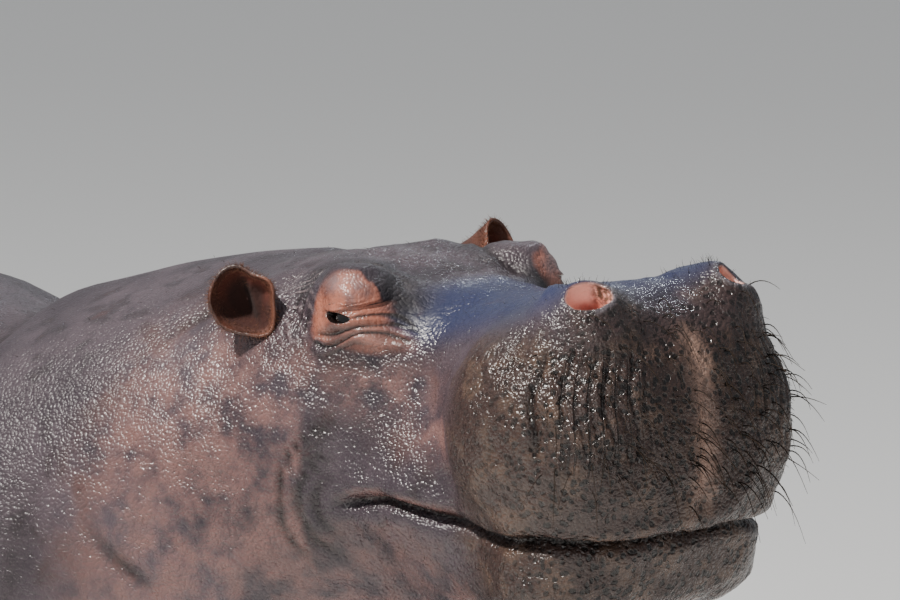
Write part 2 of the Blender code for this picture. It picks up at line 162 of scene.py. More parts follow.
def newPiece(name, points, faces):
    # an object at the origin with one mesh of these points and three- or four-sided faces, shaded smooth
    mesh = bpy.data.meshes.new(name)
    corners = faces.shape[1]
    mesh.vertices.add(len(points))
    mesh.vertices.foreach_set("co", np.asarray(points, np.float32).ravel())
    mesh.loops.add(faces.size)
    mesh.loops.foreach_set("vertex_index", faces.astype(np.int32).ravel())
    mesh.polygons.add(len(faces))
    mesh.polygons.foreach_set("loop_start", np.arange(0, faces.size, corners, dtype=np.int32))
    mesh.update(calc_edges=True)
    mesh.validate()
    mesh.shade_smooth()
    piece = bpy.data.objects.new(name, mesh)
    bpy.context.scene.collection.objects.link(piece)
    return piece


def finishPiece(piece, look, slot, *nodes):
    # gives a piece its material and its body, and hides the CAD nodes that it stands for; slot is not used
    piece.data.materials.append(look)
    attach(piece, "root")
    if nodes:
        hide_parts(*nodes)


def storeValues(piece, **values):
    for name, numbers in values.items():
        layer = piece.data.attributes.new(name, "FLOAT", "POINT")
        layer.data.foreach_set("value", np.asarray(numbers, np.float32))


def edgesOf(faces, count):
    # every edge once, as two point numbers, and the edge number of each face's three sides
    tails = faces.ravel()
    heads = np.roll(faces, -1, axis=1).ravel()
    keys, sides = np.unique(np.minimum(tails, heads) * count + np.maximum(tails, heads), return_inverse=True)
    return np.stack((keys // count, keys % count), axis=1), sides.reshape(-1, 3)


def meanOfNeighbours(values, edges):
    count = len(values)
    ends = np.concatenate((edges[:, 0], edges[:, 1]))
    others = np.concatenate((edges[:, 1], edges[:, 0]))
    total = np.stack([np.bincount(ends, values[others, k], count) for k in range(values.shape[1])], axis=1)
    return total / np.maximum(np.bincount(ends, minlength=count), 1)[:, None]


def relaxed(points, faces, rounds, share=1.0, keepSize=True):
    # each round moves a point half way to its neighbours' mean, then nearly as far back out again
    edges = edgesOf(faces, len(points))[0]
    share = np.broadcast_to(np.asarray(share, float), len(points))[:, None]
    for number in range(rounds):
        points = points + share * 0.5 * (meanOfNeighbours(points, edges) - points)
        if keepSize:
            points = points - share * 0.52 * (meanOfNeighbours(points, edges) - points)
    return points


def normalsOf(points, faces):
    # the mean of the surrounding faces' normals, weighed by their areas
    across = np.cross(points[faces[:, 1]] - points[faces[:, 0]], points[faces[:, 2]] - points[faces[:, 0]])
    ends = faces.T.ravel()
    around = np.tile(across, (3, 1))
    return unit(np.stack([np.bincount(ends, around[:, k], len(points)) for k in range(3)], axis=1))


def joined(*patterns):
    # lists of faces, each from three arrays of point numbers, in one array
    return np.concatenate([np.stack(corners, axis=-1).reshape(-1, 3) for corners in patterns])


def refined(points, faces, longest):
    # halves each edge that is longer than longest(its middle), and splits the faces beside it to suit
    edges, sides = edgesOf(faces, len(points))
    middles = points[edges].mean(axis=1)
    split = np.linalg.norm(points[edges[:, 0]] - points[edges[:, 1]], axis=1) > longest(middles)
    fresh = np.full(len(edges), -1)
    fresh[split] = len(points) + np.arange(split.sum())
    points = np.concatenate((points, middles[split]))
    halves = fresh[sides]
    cuts = (halves >= 0).sum(axis=1)
    made = [faces[cuts == 0]]
    for wanted in (1, 2, 3):
        chosen = cuts == wanted
        # turns each face until its cut side is the first, or its whole side the last
        cut = halves[chosen]
        first = np.argmax(cut >= 0, axis=1) if wanted == 1 else np.argmin(cut, axis=1) + 1
        order = (first[:, None] + np.arange(3)) % 3
        a, b, c = np.take_along_axis(faces[chosen], order, 1).T
        p, q, r = np.take_along_axis(cut, order, 1).T
        patterns = {1: ((a, p, c), (p, b, c)),
                    2: ((p, b, q), (a, p, q), (a, q, c)),
                    3: ((a, p, r), (p, b, q), (r, q, c), (p, q, r))}
        made.append(joined(*patterns[wanted]))
    return points, np.concatenate(made)


def holeRim(faces, inside):
    # takes away each face that touches a point inside, and follows the edge of the hole round once
    gone = inside[faces].any(axis=1)
    count = len(inside)
    tails = faces[gone].ravel()
    heads = np.roll(faces[gone], -1, axis=1).ravel()
    rim = ~np.isin(tails * count + heads, heads * count + tails)
    following = dict(zip(tails[rim].tolist(), heads[rim].tolist()))
    loop = [int(tails[rim][0])]
    while following[loop[-1]] != loop[0]:
        loop.append(following[loop[-1]])
    if len(loop) != rim.sum():
        raise ValueError("a hole's edge must be one simple loop")
    return faces[~gone], np.array(loop)


def turnsRound(across, up):
    # a loop's angles, and even angles that go round the same way
    angles = np.unwrap(np.arctan2(up, across))
    even = np.sign(angles[-1] - angles[0]) * 2 * math.pi * np.arange(len(angles)) / len(angles)
    return angles, even + (angles - even).mean()


def doubled(values):
    # one more value half way between each two round a loop
    middles = (values + np.roll(values, -1, axis=0)) / 2
    return np.stack((values, middles), axis=1).reshape(-1, *values.shape[1:])


def steps(count):
    # even shares from just above 0 to 1
    return np.arange(1, count + 1) / count


def filleted(rim, corner, end, step):
    # a ring on the way from a rim to an end, drawn towards the corner between them
    return rim * (1 - step) ** 2 + corner * 2 * step * (1 - step) + end * step ** 2


def grafted(points, faces, loop, rings, tip):
    # fills a hole with rings of points, from its rim inwards, and closes the last ring on the tip.
    # The rings have as many points as the rim, or twice as many.
    size = len(rings[0])
    rows = [len(points) + size * k + np.arange(size) for k in range(len(rings))]
    made = [faces]
    if size == len(loop):
        chain = [loop, *rows]
    else:
        chain = rows
        loopNext = np.roll(loop, -1)
        first, middle, last = rows[0][::2], rows[0][1::2], np.roll(rows[0][::2], -1)
        made.append(joined((loop, loopNext, middle), (loop, middle, first), (loopNext, last, middle)))
    for outer, inner in zip(chain, chain[1:]):
        outerNext, innerNext = np.roll(outer, -1), np.roll(inner, -1)
        made.append(joined((outer, outerNext, innerNext), (outer, innerNext, inner)))
    end = np.full(size, rows[-1][-1] + 1)
    made.append(joined((rows[-1], np.roll(rows[-1], -1), end)))
    return np.concatenate((points, *rings, tip[None])), np.concatenate(made), np.stack(rows)


class Patch:
    # a part of the head made anew: a hole in the skin, and its rim in the patch's own axes
    def __init__(self, points, sign, middle, axes):
        self.points, self.sign, self.middle, self.axes = points, sign, middle, axes
        self.places = (sided(toHead(points), sign) - middle) @ axes.T

    def cut(self, faces, share, outside, reach=1.35):
        # opens the hole where share is below 1, and keeps the places round it
        self.near = self.places[(share < reach) & outside]
        self.faces, self.loop = holeRim(faces, (share < 1) & outside)
        return self.places[self.loop]

    def depthAt(self, spots, reach):
        # at each spot (across, up), the depth of the plane that fits the places round it best
        offsets = self.near[None, :, :2] - spots[:, None, :]
        weights = np.exp(-(offsets ** 2).sum(axis=2) / reach ** 2) + 1e-12
        basis = np.concatenate((np.ones_like(offsets[..., :1]), offsets), axis=2)
        squares = np.einsum("sp,spi,spj->sij", weights, basis, basis)
        sums = np.einsum("sp,spi,p->si", weights, basis, self.near[:, 2])
        return np.linalg.solve(squares, sums[..., None])[:, 0, 0]

    def filled(self, rings, tip):
        # turns the rings back into the model's own place and grafts them in
        back = [fromHead(sided(ring @ self.axes + self.middle, self.sign)) for ring in (*rings, tip[None])]
        return grafted(self.points, self.faces, self.loop, back[:-1], back[-1][0])


# the skin is the flesh pressed into one closed surface
skinBuild = {
    "swell": 0.0012,  # laps the pieces of flesh over the thin cuts between them
    "voxel": 0.0235,
    "bodyRelax": 10,
    "headRelax": 8,
    "headEdge": 0.0172,  # the longest edge left on the head and the feet
    "detailEdge": 0.0087,  # round the eyes, the ears, the mouth, the muzzle and the toes
    "fineEdge": 0.0044,  # and on the creased side of the upper lip
    "refineRounds": 4,
    "seamRows": {"tail": 16},  # how many rows of a patch's rings are smoothed at its seam; 5 on the others
    "sole": 0.004,  # what lies lower than this is flat on the floor
}
# the middles of the ear cups' openings and of the nostrils, in sided places
earMiddle = {"left": np.array((-0.132, 0.232, 0.014)), "right": np.array((-0.146, 0.223, 0.014))}
nostrilMiddle = {"left": np.array((0.402, 0.111, 0.062)), "right": np.array((0.415, 0.120, 0.078))}
browMiddle = (-0.014, 0.140, 0.020)
lipTurn = np.array((0.30, 0.0))  # the upright axis that the creases of the upper lip stand round
leftLumps = (  # each one's middle, width and height
    ((0.386, 0.112, 0.094), 0.012, 0.0050),  # a knob over the left nostril
    ((0.414, 0.136, 0.086), 0.019, -0.0110),  # the dip beside it
    ((0.036, 0.172, 0.021), 0.014, 0.0085),  # the front corner of the left brow
    ((0.030, 0.150, 0.062), 0.018, -0.0050),  # and the slope over it
)


def mouthHeight(ahead):
    # the line between the lips, from the side: it lifts behind the muzzle and drops to the corner
    return -0.236 + 0.018 * bell(ahead - 0.13, 0.075)


def pressedFlesh():
    # the flesh nodes, each merged and swollen until it laps over its neighbours, remeshed as one surface
    allPoints, allFaces, start = [], [], 0
    for node in fleshNodes:
        if node.startswith("ear") or node == "tail":
            continue
        points, faces = arraysOf(frame["nodes"][node].data)
        points, where = np.unique(points.round(6), axis=0, return_inverse=True)
        faces = where.reshape(-1)[faces]
        allPoints.append(points + skinBuild["swell"] * normalsOf(points, faces))
        allFaces.append(faces + start)
        start += len(points)
    flesh = newPiece("flesh", np.concatenate(allPoints), np.concatenate(allFaces))
    remesh = flesh.modifiers.new("press", "REMESH")
    remesh.mode = "VOXEL"
    remesh.voxel_size = skinBuild["voxel"]
    graph = bpy.context.evaluated_depsgraph_get()
    points, faces = arraysOf(flesh.evaluated_get(graph).to_mesh())
    mesh = flesh.data
    bpy.data.objects.remove(flesh)
    bpy.data.meshes.remove(mesh)
    return points, faces


def lipBearing(place):
    # degrees round the upper lip's axis: 0 straight ahead and 90 to the side
    return np.degrees(np.arctan2(place[:, 1] - lipTurn[1], place[:, 0] - lipTurn[0]))


def longestEdge(middles):
    # how long an edge may be at each place: long on the body, short on the head and the feet
    place, side = sidedPlaces(middles)
    ahead, out, up = place.T
    limit = np.ones(len(place))
    limit[(ahead > -0.30) | (middles[:, 2] < 0.15)] = skinBuild["headEdge"]
    detail = (ahead > 0.30) & (np.abs(up + 0.09) < 0.175)
    detail |= (ahead > -0.02) & (np.abs(up - mouthHeight(ahead)) < 0.028)
    detail |= np.linalg.norm(place - eyeSeat, axis=1) < 0.115
    detail |= np.linalg.norm(place - earMiddle["right"], axis=1) < 0.105
    for name in feet:
        around = middles[:, :2] - footMiddles[name]
        detail |= (np.hypot(*around.T) < 0.19) & (around[:, 1] < -0.01) & (middles[:, 2] < 0.095)
    limit[detail] = skinBuild["detailEdge"]
    creased = (np.abs(lipBearing(place) - 44) < 22) & (np.abs(up + 0.06) < 0.115) & (ahead > 0.36)
    limit[creased] = skinBuild["fineEdge"]
    return limit


class Folds:
    # how far the skin is pushed out at each point, and the painted shade in its creases
    def __init__(self, count):
        self.push = np.zeros(count)
        self.dark = np.zeros(count)

    def press(self, distance, width, depth, window):
        # a crease along the line where distance is 0
        self.push -= depth * bell(distance, width) * window
        # painted shade along the crease
        self.dark = np.maximum(self.dark, bell(distance, width * 0.8) * window)


def headFolds(place, side):
    # the lips, the furrows of the head and the creases of the muzzle
    ahead, out, up = place.T
    folds = Folds(len(place))
    # the line between the lips, with a rounded edge over and under it
    onMouth = rise(ahead, 0.015, 0.06) * (up < -0.1)
    gap = up - mouthHeight(ahead) - 0.004 * np.sin(ahead * 40 + out * 25)
    folds.press(gap, 0.0065, 0.020, onMouth)
    folds.push += onMouth * (0.006 * bell(gap - 0.022, 0.016) + 0.003 * bell(gap + 0.024, 0.016))
    for reach, depth in ((0.030, 0.006), (0.052, 0.005), (0.080, 0.004)):
        # folds that wrap the corner of the mouth from behind
        around = np.hypot(ahead - 0.030, (up + 0.236) * 0.75) - reach
        behind = (1 - rise(ahead, -0.01, 0.04)) * rise(out, 0.05, 0.09) * rise(up, -0.33, -0.29)
        folds.press(around, 0.007, depth, behind)
    # the cleft between the two halves of the upper lip
    folds.press(out, 0.012, 0.007, rise(ahead, 0.40, 0.46) * between(up, -0.23, -0.19, 0.00, 0.045))
    # the upright creases of the upper lip, and a deep one behind them
    bearing = lipBearing(place) + 1.3 * np.sin(up * 55 + 0.7) + 0.8 * np.sin(up * 23 + out * 30)
    reachUp = between(up, -0.165, -0.10, 0.005, 0.045) * (ahead > 0.34)
    for k, bearingOf in enumerate((26.0, 30.5, 34.3, 38.7, 42.6, 47.2, 51.5)):
        folds.press(bearing - bearingOf, 0.62, 0.0023, reachUp * (0.75 + 0.25 * math.sin(k * 2.4)))
    folds.press(bearing - 61.5, 1.5, 0.0055, between(up, -0.14, -0.08, 0.00, 0.03) * (ahead > 0.34))
    folds.push += 0.0010 * np.abs(np.sin(np.radians(bearing) * 180 / 4.3)) * reachUp * bell(bearing - 39, 16)
    # the brow's outer swelling, the furrow above and behind it, and the hollow ahead of it
    folds.push += 0.0075 * lump(place, (0.020, 0.180, 0.030), 0.034)
    around = np.linalg.norm((place - browMiddle) / np.array((0.068, 0.055, 0.053)), axis=1)
    upper = rise(up, 0.015, 0.045) * (1 - rise(ahead, 0.02, 0.06)) * rise(out, 0.07, 0.10)
    folds.press(around - 1.13, 0.075, 0.0060, upper)
    folds.push -= 0.0070 * lump(place, (0.098, 0.130, 0.022), 0.030)
    for k in range(3):
        # furrows between the ear and the brow
        line = ahead + 0.100 - 0.016 * k + 0.25 * (up - 0.03)
        folds.press(line, 0.0045, 0.0022, bell(up - 0.018 + 0.012 * k, 0.030) * rise(out, 0.10, 0.13))
    for k in range(4):
        # folds across the throat
        line = ahead + 0.14 + 0.062 * k - 0.35 * (up + 0.38) + 0.012 * np.sin(out * 18 + k)
        folds.press(line, 0.014, 0.009, (1 - rise(up, -0.33, -0.25)) * (1 - rise(out, 0.13, 0.20)))
    # a crease where the jaw muscle ends
    folds.press(np.hypot((ahead + 0.130) * 0.95, up + 0.180) - 0.205, 0.012, 0.007,
                rise(-ahead, 0.20, 0.26) * rise(out, 0.10, 0.14) * (1 - rise(up, -0.02, 0.02)))
    for middle, width, height in leftLumps:
        folds.push += height * lump(place, middle, width) * (side > 0)
    return folds


# the folds of each pair of legs: how far the line is ahead of the foot's middle, how it leans, the height
# that it leans about, its width and depth, and the heights where it starts and ends
legFolds = {
    "front": ((-0.185, -0.55, 0.62, 0.024, 0.014, (0.42, 0.52, 0.72, 0.86)),
              (0.170, -0.25, 0.60, 0.024, 0.010, (0.46, 0.56, 0.74, 0.86))),
    "hind": ((0.270, 0.55, 0.62, 0.028, 0.016, (0.44, 0.54, 0.84, 0.98)),),
}


def bodyFolds(points):
    # the folds of the neck, the shoulders, the flanks and the feet, in the body's own place
    across, back, up = points.T
    folds = Folds(len(points))
    # the neck meets the shoulders in a long fold that leans back as it goes down
    line = back + 0.355 - 0.30 * (1.25 - up) + 0.02 * np.sin(up * 9)
    folds.press(line, 0.030, 0.012, rise(up, 0.55, 0.85))
    line = back + 0.560 - 0.10 * (1.25 - up) + 0.02 * np.sin(up * 11 + 2)
    folds.press(line, 0.028, 0.007, between(up, 0.60, 0.80, 1.10, 1.22))
    for name in feet:
        middle = footMiddles[name]
        sideways, behind = (across - middle[0]) * np.sign(middle[0]), back - middle[1]
        near = (np.abs(behind) < 0.55) & (np.sign(across) == np.sign(middle[0]))
        for shift, lean, crossing, width, depth, span in legFolds[name.split("_")[0]]:
            folds.press(behind + shift + lean * (up - crossing), width, depth, near * between(up, *span))
        around = np.hypot(sideways, behind)
        low = near * (around < 0.24)
        for k, height in enumerate((0.135, 0.185, 0.245)):
            waves = 0.012 * np.cos(np.arctan2(behind, sideways) * 2 + k)
            folds.press(up - height - waves, 0.011, 0.0045, low)
        heading = np.degrees(np.arctan2(sideways, -behind))
        cleftShare = rise(around, 0.06, 0.11) * (1 - rise(up, 0.05, 0.105))
        for cleft in (-40.0, 0.0, 40.0):
            folds.press(np.radians(heading - cleft) * around, 0.008, 0.013, low * cleftShare)
    # the cleft of the rump under the tail
    folds.press(across, 0.030, 0.020, rise(back, 1.20, 1.36) * between(up, 0.62, 0.75, 1.00, 1.12))
    return folds


# each toe swells out of the foot, with a bed for its nail
toeShape = {
    "headings": {"inner": -60.0, "inner_middle": -21.0, "outer_middle": 21.0, "outer": 60.0},
    "ring": {"front": 0.111, "hind": 0.103},  # how far the toes stand from the foot's middle
    "half": (0.060, 0.040, 0.056),
    "up": 0.028,
    "nail": (0.041, 0.037),  # a nail's middle, out along the toe and up
    "bedHalf": (0.030, 0.032),  # the nail's bed, across and up
}


def toeFrame(foot, toe):
    # a toe's place on the floor, and its axes: out along the toe, across it and up
    sideways = np.sign(footMiddles[foot][0])
    heading = math.radians(toeShape["headings"][toe])
    out = np.array((sideways * math.sin(heading), -math.cos(heading), 0.0))
    start = np.append(footMiddles[foot], 0.0) + out * toeShape["ring"][foot.split("_")[0]]
    return start, np.array((out, np.cross((0, 0, 1.0), out), (0, 0, 1.0)))


def toesPushed(points):
    # points in a toe's ellipsoid move out to it; the nail's bed sinks, and a cuticle rises round it
    for foot in feet:
        for toe in toeShape["headings"]:
            start, axes = toeFrame(foot, toe)
            local = (points - start) @ axes.T
            middle = np.array((0, 0, toeShape["up"]))
            reach = np.linalg.norm((local - middle) / np.array(toeShape["half"]), axis=1)
            grown = fatter(reach, np.ones(len(reach)), 0.35)
            share = (1 - rise(reach, 1.0, 1.4)) * rise(local[:, 0], -0.035, 0.010)
            local = middle + (local - middle) * (1 + (grown / np.maximum(reach, 0.2) - 1) * share)[:, None]
            wide, tall = toeShape["bedHalf"]
            plate = np.hypot(local[:, 1] / wide, (local[:, 2] - toeShape["nail"][1]) / tall)
            front = (local[:, 0] > 0.02) * (local[:, 0] < 0.09)
            bed = (1 - rise(plate, 0.85, 1.10)) * front
            cuticle = bell(plate - 1.22, 0.14) * front * rise(local[:, 2], 0.02, 0.05)
            local[:, 0] += 0.0030 * cuticle - 0.0085 * bed
            points = np.where(((share > 0) | (bed > 0))[:, None], start + local @ axes, points)
    return points


# the eyes' lids and sockets
lids = {
    "shell": 0.0285,  # radius of the lids over the eyeball
    "socket": 0.0246,
    "slit": 0.0215,  # half its length
    "opens": (0.0048, 0.0084),  # above and below the line between its corners
    "middle": (0.020, -0.020),  # of the finely made patch, and its half sizes
    "half": (0.080, 0.046),
    "rings": 28,
    # the folds' drop, rise and bend
    "folds": ((0.0215, 0.0180, 0.0016), (0.0335, 0.0200, 0.0026), (0.0450, 0.0170, 0.0034)),
}
eyeAxes = np.array(((1.0, 0, 0), (0, 0, 1.0), (0, 1.0, 0)))  # ahead, up and out


def lidEdge(across):
    # the height of the upper lid's edge over the eyeball's middle: it rises ahead of the eye, then runs down
    return 0.0100 + 0.0085 * bell(across - 0.032, 0.026) - 0.017 * rise(across, 0.046, 0.100)


def cornerLine(across):
    # the crease that runs on ahead from the front corner of the slit
    return 0.0045 + 0.0065 * bell(across - 0.042, 0.018) - 0.014 * rise(across, 0.050, 0.100)


def foldTurn(across, up):
    # counts the folds downwards from the lid's edge: a whole number is a crease, and a half is a fold's crown
    above = lidEdge(across)
    turn = np.zeros(np.shape(across))
    for start, height, bend in lids["folds"]:
        crease = height * rise(across, -0.018, 0.034) - start - 0.006 * rise(across, 0.045, 0.10)
        crease = crease + bend * np.sin(across * 75 + start * 140)
        turn = turn + np.clip((above - up) / (above - crease), 0, 1)
        above = crease
    return turn


def patchShare(across, up):
    # 0 in the middle of an eye's patch and 1 on its rim
    middle, half = lids["middle"], lids["half"]
    return np.hypot((across - middle[0]) / half[0], (up - middle[1]) / half[1])


def lidHeight(across, up):
    # how far the heavy upper lid and the folds under the eye stand out of the face
    window = (1 - rise(patchShare(across, up), 0.72, 1.0)) * rise(across, -0.050, -0.030)
    heavy = 0.0045 * between(up - lidEdge(across), -0.0005, 0.0035, 0.006, 0.034)
    turn = foldTurn(across, up)
    size = np.interp(turn, (0, 1, 2, 3), (0.0036, 0.0054, 0.0054, 0.0040))
    folds = size * (np.sqrt(np.sin(math.pi * turn) ** 2 + 0.04) - 0.2) / 0.82 * (turn < 3)
    gap = up - cornerLine(across)
    corner = rise(across, 0.020, 0.028) * (0.0016 * bell(gap + 0.0045, 0.0032) - 0.0030 * bell(gap, 0.0022))
    return window * (heavy + folds + corner)


def slitOutline(angles):
    # an almond: an ellipse whose lower half is deeper
    across = 0.0005 + lids["slit"] * np.cos(angles)
    lift = np.where(np.sin(angles) > 0, *lids["opens"]) * np.sin(angles)
    return np.stack((across, 0.0070 - 0.07 * across + lift), axis=1)


def eyePatch(points, faces, sign):
    # rings from the rim of a hole in the face to the slit, round its edge and back behind the eyeball
    patch = Patch(points, sign, eyeSeat, eyeAxes)
    across, up, out = patch.places.T
    rim = patch.cut(faces, patchShare(across, up), out > -0.028 - 0.55 * np.clip(across - 0.03, 0, None))
    middle, half = np.array(lids["middle"]), lids["half"]
    angles, even = turnsRound(*((rim[:, :2] - middle) / half).T)
    ratio = patchShare(rim[:, 0], rim[:, 1])
    miss = rim[:, 2] - patch.depthAt(rim[:, :2], 0.010)
    rings = []
    for step in steps(lids["rings"]):
        turn = angles + (even - angles) * rise(step, 0, 0.6)
        swell = 1 + (ratio - 1) * (1 - rise(step, 0, 0.5))
        wide = middle + oval(turn, half[0] * swell, half[1] * swell)
        spots = wide + (slitOutline(turn) - wide) * step
        base = patch.depthAt(spots, 0.010) + miss * (1 - rise(step, 0, 0.6))
        ball = lids["shell"] ** 2 - (spots ** 2).sum(axis=1)
        shell = np.where(ball > 0, np.sqrt(np.clip(ball, 0, None)), -1.0)
        depth = fatter(base, shell, 0.007) + lidHeight(spots[:, 0], spots[:, 1])
        rings.append(np.column_stack((spots, depth)))
    edge = rings[-1]
    far = np.linalg.norm(edge, axis=1)
    for step in (0.12, 0.4, 0.7, 1.0):
        reach = (far + (lids["socket"] - far) * step) / far
        rings.append(edge * reach[:, None] * (1 - 0.02 * math.sin(step)))
    tilt = np.arccos(edge[:, 2] / far)
    bearing = np.arctan2(edge[:, 1], edge[:, 0])
    for step in np.arange(1, 9) / 9:
        lean = tilt + (math.pi - tilt) * step
        ball = np.column_stack((oval(bearing, np.sin(lean), np.sin(lean)), np.cos(lean)))
        rings.append(lids["socket"] * ball)
    return patch.filled(rings, np.array((0, 0, -lids["socket"])))


# each nostril is a raised rim round a pit
nostril = {
    "facing": {"left": (0.71, 0.16, 0.68), "right": (0.42, 0.53, 0.74)},
    "along": (0.66, -0.75, 0.0),  # the way of its length: ahead and towards the other one
    "half": {"left": (0.0245, 0.0215), "right": (0.0320, 0.0285)},
    "patch": 0.056,
    "lip": 0.0085,  # how far the rim stands up
    "edge": 0.0035,  # how round its edge is
    "deep": 0.050,
    "rings": 14,
    "pitRings": 14,
}


def nostrilPatch(points, faces, side, sign):
    # rings from the rim of a hole in the muzzle to the opening, round its edge and down the pit
    patch = Patch(points, sign, nostrilMiddle[side], framed(nostril["facing"][side], nostril["along"]))
    share = np.hypot(*patch.places.T[:2]) / nostril["patch"]
    rim = patch.cut(faces, share, patch.places[:, 2] > -0.07)
    angles, even = turnsRound(*rim.T[:2])
    ratio = share[patch.loop]
    rings = []
    for step in steps(nostril["rings"]):
        turn = angles + (even - angles) * rise(step, 0, 0.6)
        swell = nostril["patch"] * (1 + (ratio - 1) * (1 - rise(step, 0, 0.5)))
        wide = oval(turn, swell, swell)
        uneven = 1 + 0.018 * np.sin(3 * turn + 1.0) + 0.014 * np.sin(7 * turn)
        opening = oval(turn, *nostril["half"][side]) * uneven[:, None]
        spots = wide + (opening - wide) * (1 - (1 - step) ** 1.25)
        # the rim is highest on the inner side, and nearly gone on the outer one
        lip = nostril["lip"] * (0.50 + 0.50 * np.cos(turn + math.radians(50)))
        gap = np.linalg.norm(spots - opening, axis=1)
        depth = patch.depthAt(spots, 0.0075) + lip * bell(gap - 0.003, 0.0085) * rise(step, 0, 0.3)
        rings.append(np.column_stack((spots, depth)))
    edge = rings[-1]
    bottom = edge[:, 2].mean() - nostril["deep"]
    for lean in np.radians((22, 45, 68, 90)):
        shrink = 1 - nostril["edge"] * math.sin(lean) / np.linalg.norm(edge[:, :2], axis=1)
        drop = nostril["edge"] * (1 - math.cos(lean))
        rings.append(np.column_stack((edge[:, :2] * shrink[:, None], edge[:, 2] - drop)))
    inner = rings[-1]
    for step in steps(nostril["pitRings"]):
        shrink = 1 - 0.30 * step - 0.45 * step ** 2
        shift = np.array((-0.006, 0.006)) * step
        sunk = inner[:, 2] * (1 - step) + bottom * step
        rings.append(np.column_stack((inner[:, :2] * shrink + shift, sunk)))
    return patch.filled(rings, np.append(rings[-1][:, :2].mean(axis=0), bottom - 0.004))


# each ear is a thick cup on a short stalk
earShape = {
    "facing": (0.62, 0.77, 0.12),
    "tip": (-0.22, 0.30, 1.0),
    "radius": {"left": 0.0375, "right": 0.0440},
    "turned": {"left": 38.0, "right": 0.0},  # degrees that each cup is turned forwards on its stalk
    "tipTurn": {"left": 100.0, "right": 104.0},  # the bearing of its tip: 90 is straight up, and 0 ahead
    "tipRise": {"left": 0.55, "right": 0.10},
    "thick": 0.0052,
    "deep": 0.042,
    "stalk": -0.0595,  # where the turn's axis lies, behind the opening
    "root": (0.006, 0.043),  # the hole in the head that the stalk grows from: how far ahead, and its radius
    "filletRings": 8,
    "outerRings": 12,
    "innerRings": 17,
}
tipWay, aheadWay, outWay = framed(earShape["facing"], earShape["tip"])
earAxes = np.array((aheadWay * np.sign(aheadWay[0]), tipWay, outWay))  # ahead across the cup, to the tip, out


def cupRadius(turn, depth, side):
    # the cup's outline: drawn out at the tip and at the lobe, with a dip and a shoulder ahead of the tip,
    # small waves all round, and a taper down the stalk
    pointed = 1 + earShape["tipRise"][side] * lobe(turn, earShape["tipTurn"][side], 5)
    pointed += 0.30 * lobe(turn, -68, 7) - 0.12 * lobe(turn, 50, 12) + 0.06 * lobe(turn, 8, 14)
    waves = 1 + 0.012 * np.sin(5 * turn + 0.6) + 0.010 * np.sin(9 * turn) * lobe(turn, -90, 1)
    taper = 1 - 0.62 * (np.clip(depth, 0, None) / 0.105) ** 0.85
    return earShape["radius"][side] * pointed * waves * taper


def cupRing(turn, depth, level, side):
    # the cup's outline at this depth, as a ring of points at this level
    radius = cupRadius(turn, depth, side)
    return np.column_stack((oval(turn, radius, radius), level))


def cupDepth(across, up, share):
    # a deep bowl behind, a shallow shelf ahead, and an upright fold between the two
    bowl = earShape["deep"] * (1 - share ** 2.2) ** 0.75
    ahead = rise(across, -0.003, 0.017)
    fold = 0.005 * bell(across - 0.011, 0.006) * between(up, -0.036, -0.015, 0.018, 0.036)
    return bowl * (1 - 0.50 * ahead) - fold * (1 - share ** 4)


def earTurned(local, side):
    # turns the cup forwards about its stalk, the more the nearer it is to the opening
    angle = math.radians(earShape["turned"][side]) * rise(local[:, 2], -0.085, -0.030)
    across, out = local[:, 0], local[:, 2] - earShape["stalk"]
    return np.column_stack((across * np.cos(angle) + out * np.sin(angle), local[:, 1],
                            out * np.cos(angle) - across * np.sin(angle) + earShape["stalk"]))


def earPatch(points, faces, side, sign):
    # rings from the rim of a hole in the head up the stalk and the cup's back, round its edge and down inside
    patch = Patch(points, sign, earMiddle[side], earAxes)
    shift, reach = earShape["root"]
    places = patch.places
    share = np.hypot(places[:, 0] - shift, places[:, 1]) / reach
    root = doubled(patch.cut(faces, share, (places[:, 2] > -0.12) & (places[:, 2] < 0.02), 1.6))
    angles, even = turnsRound(root[:, 0] - shift, root[:, 1])
    ground = patch.depthAt(root[:, :2] * 0.85, 0.010)
    stalkEnd = np.minimum(ground + 0.016, -0.012)
    rings = []
    for step in steps(earShape["filletRings"]):
        # a fillet: from the head's surface inwards, bending up along the stalk
        low = cupRing(angles + (even - angles) * rise(step, 0, 0.8), -ground, ground + 0.001, side)
        rings.append(filleted(root, low, cupRing(even, -stalkEnd, stalkEnd, side), step))
    for step in steps(earShape["outerRings"]):
        level = stalkEnd * (1 - step)
        lean = -0.010 * np.clip(np.sin(even), 0, None) ** 2 * step
        rings.append(cupRing(even, -level, level + lean, side))
    edge = rings[-1]
    half = earShape["thick"] / 2
    inward = unit(edge[:, :2])
    for lean in np.radians((36, 72, 108, 144, 180)):
        lip = edge[:, :2] - inward * half * (1 - math.cos(lean))
        rings.append(np.column_stack((lip, edge[:, 2] + half * math.sin(lean))))
    lip = rings[-1]
    for size in 1 - np.arange(1, earShape["innerRings"] + 1) / (earShape["innerRings"] + 1):
        spots = lip[:, :2] * size
        level = lip[:, 2] * size ** 2 - cupDepth(spots[:, 0], spots[:, 1], size)
        rings.append(np.column_stack((spots, level)))
    tip = np.array((0, 0, -cupDepth(0.0, 0.0, 0.0)))
    fixed = earShape["filletRings"]
    rings = rings[:fixed] + [earTurned(ring, side) for ring in (*rings[fixed:], tip[None])]
    return patch.filled(rings[:-1], rings[-1][0])


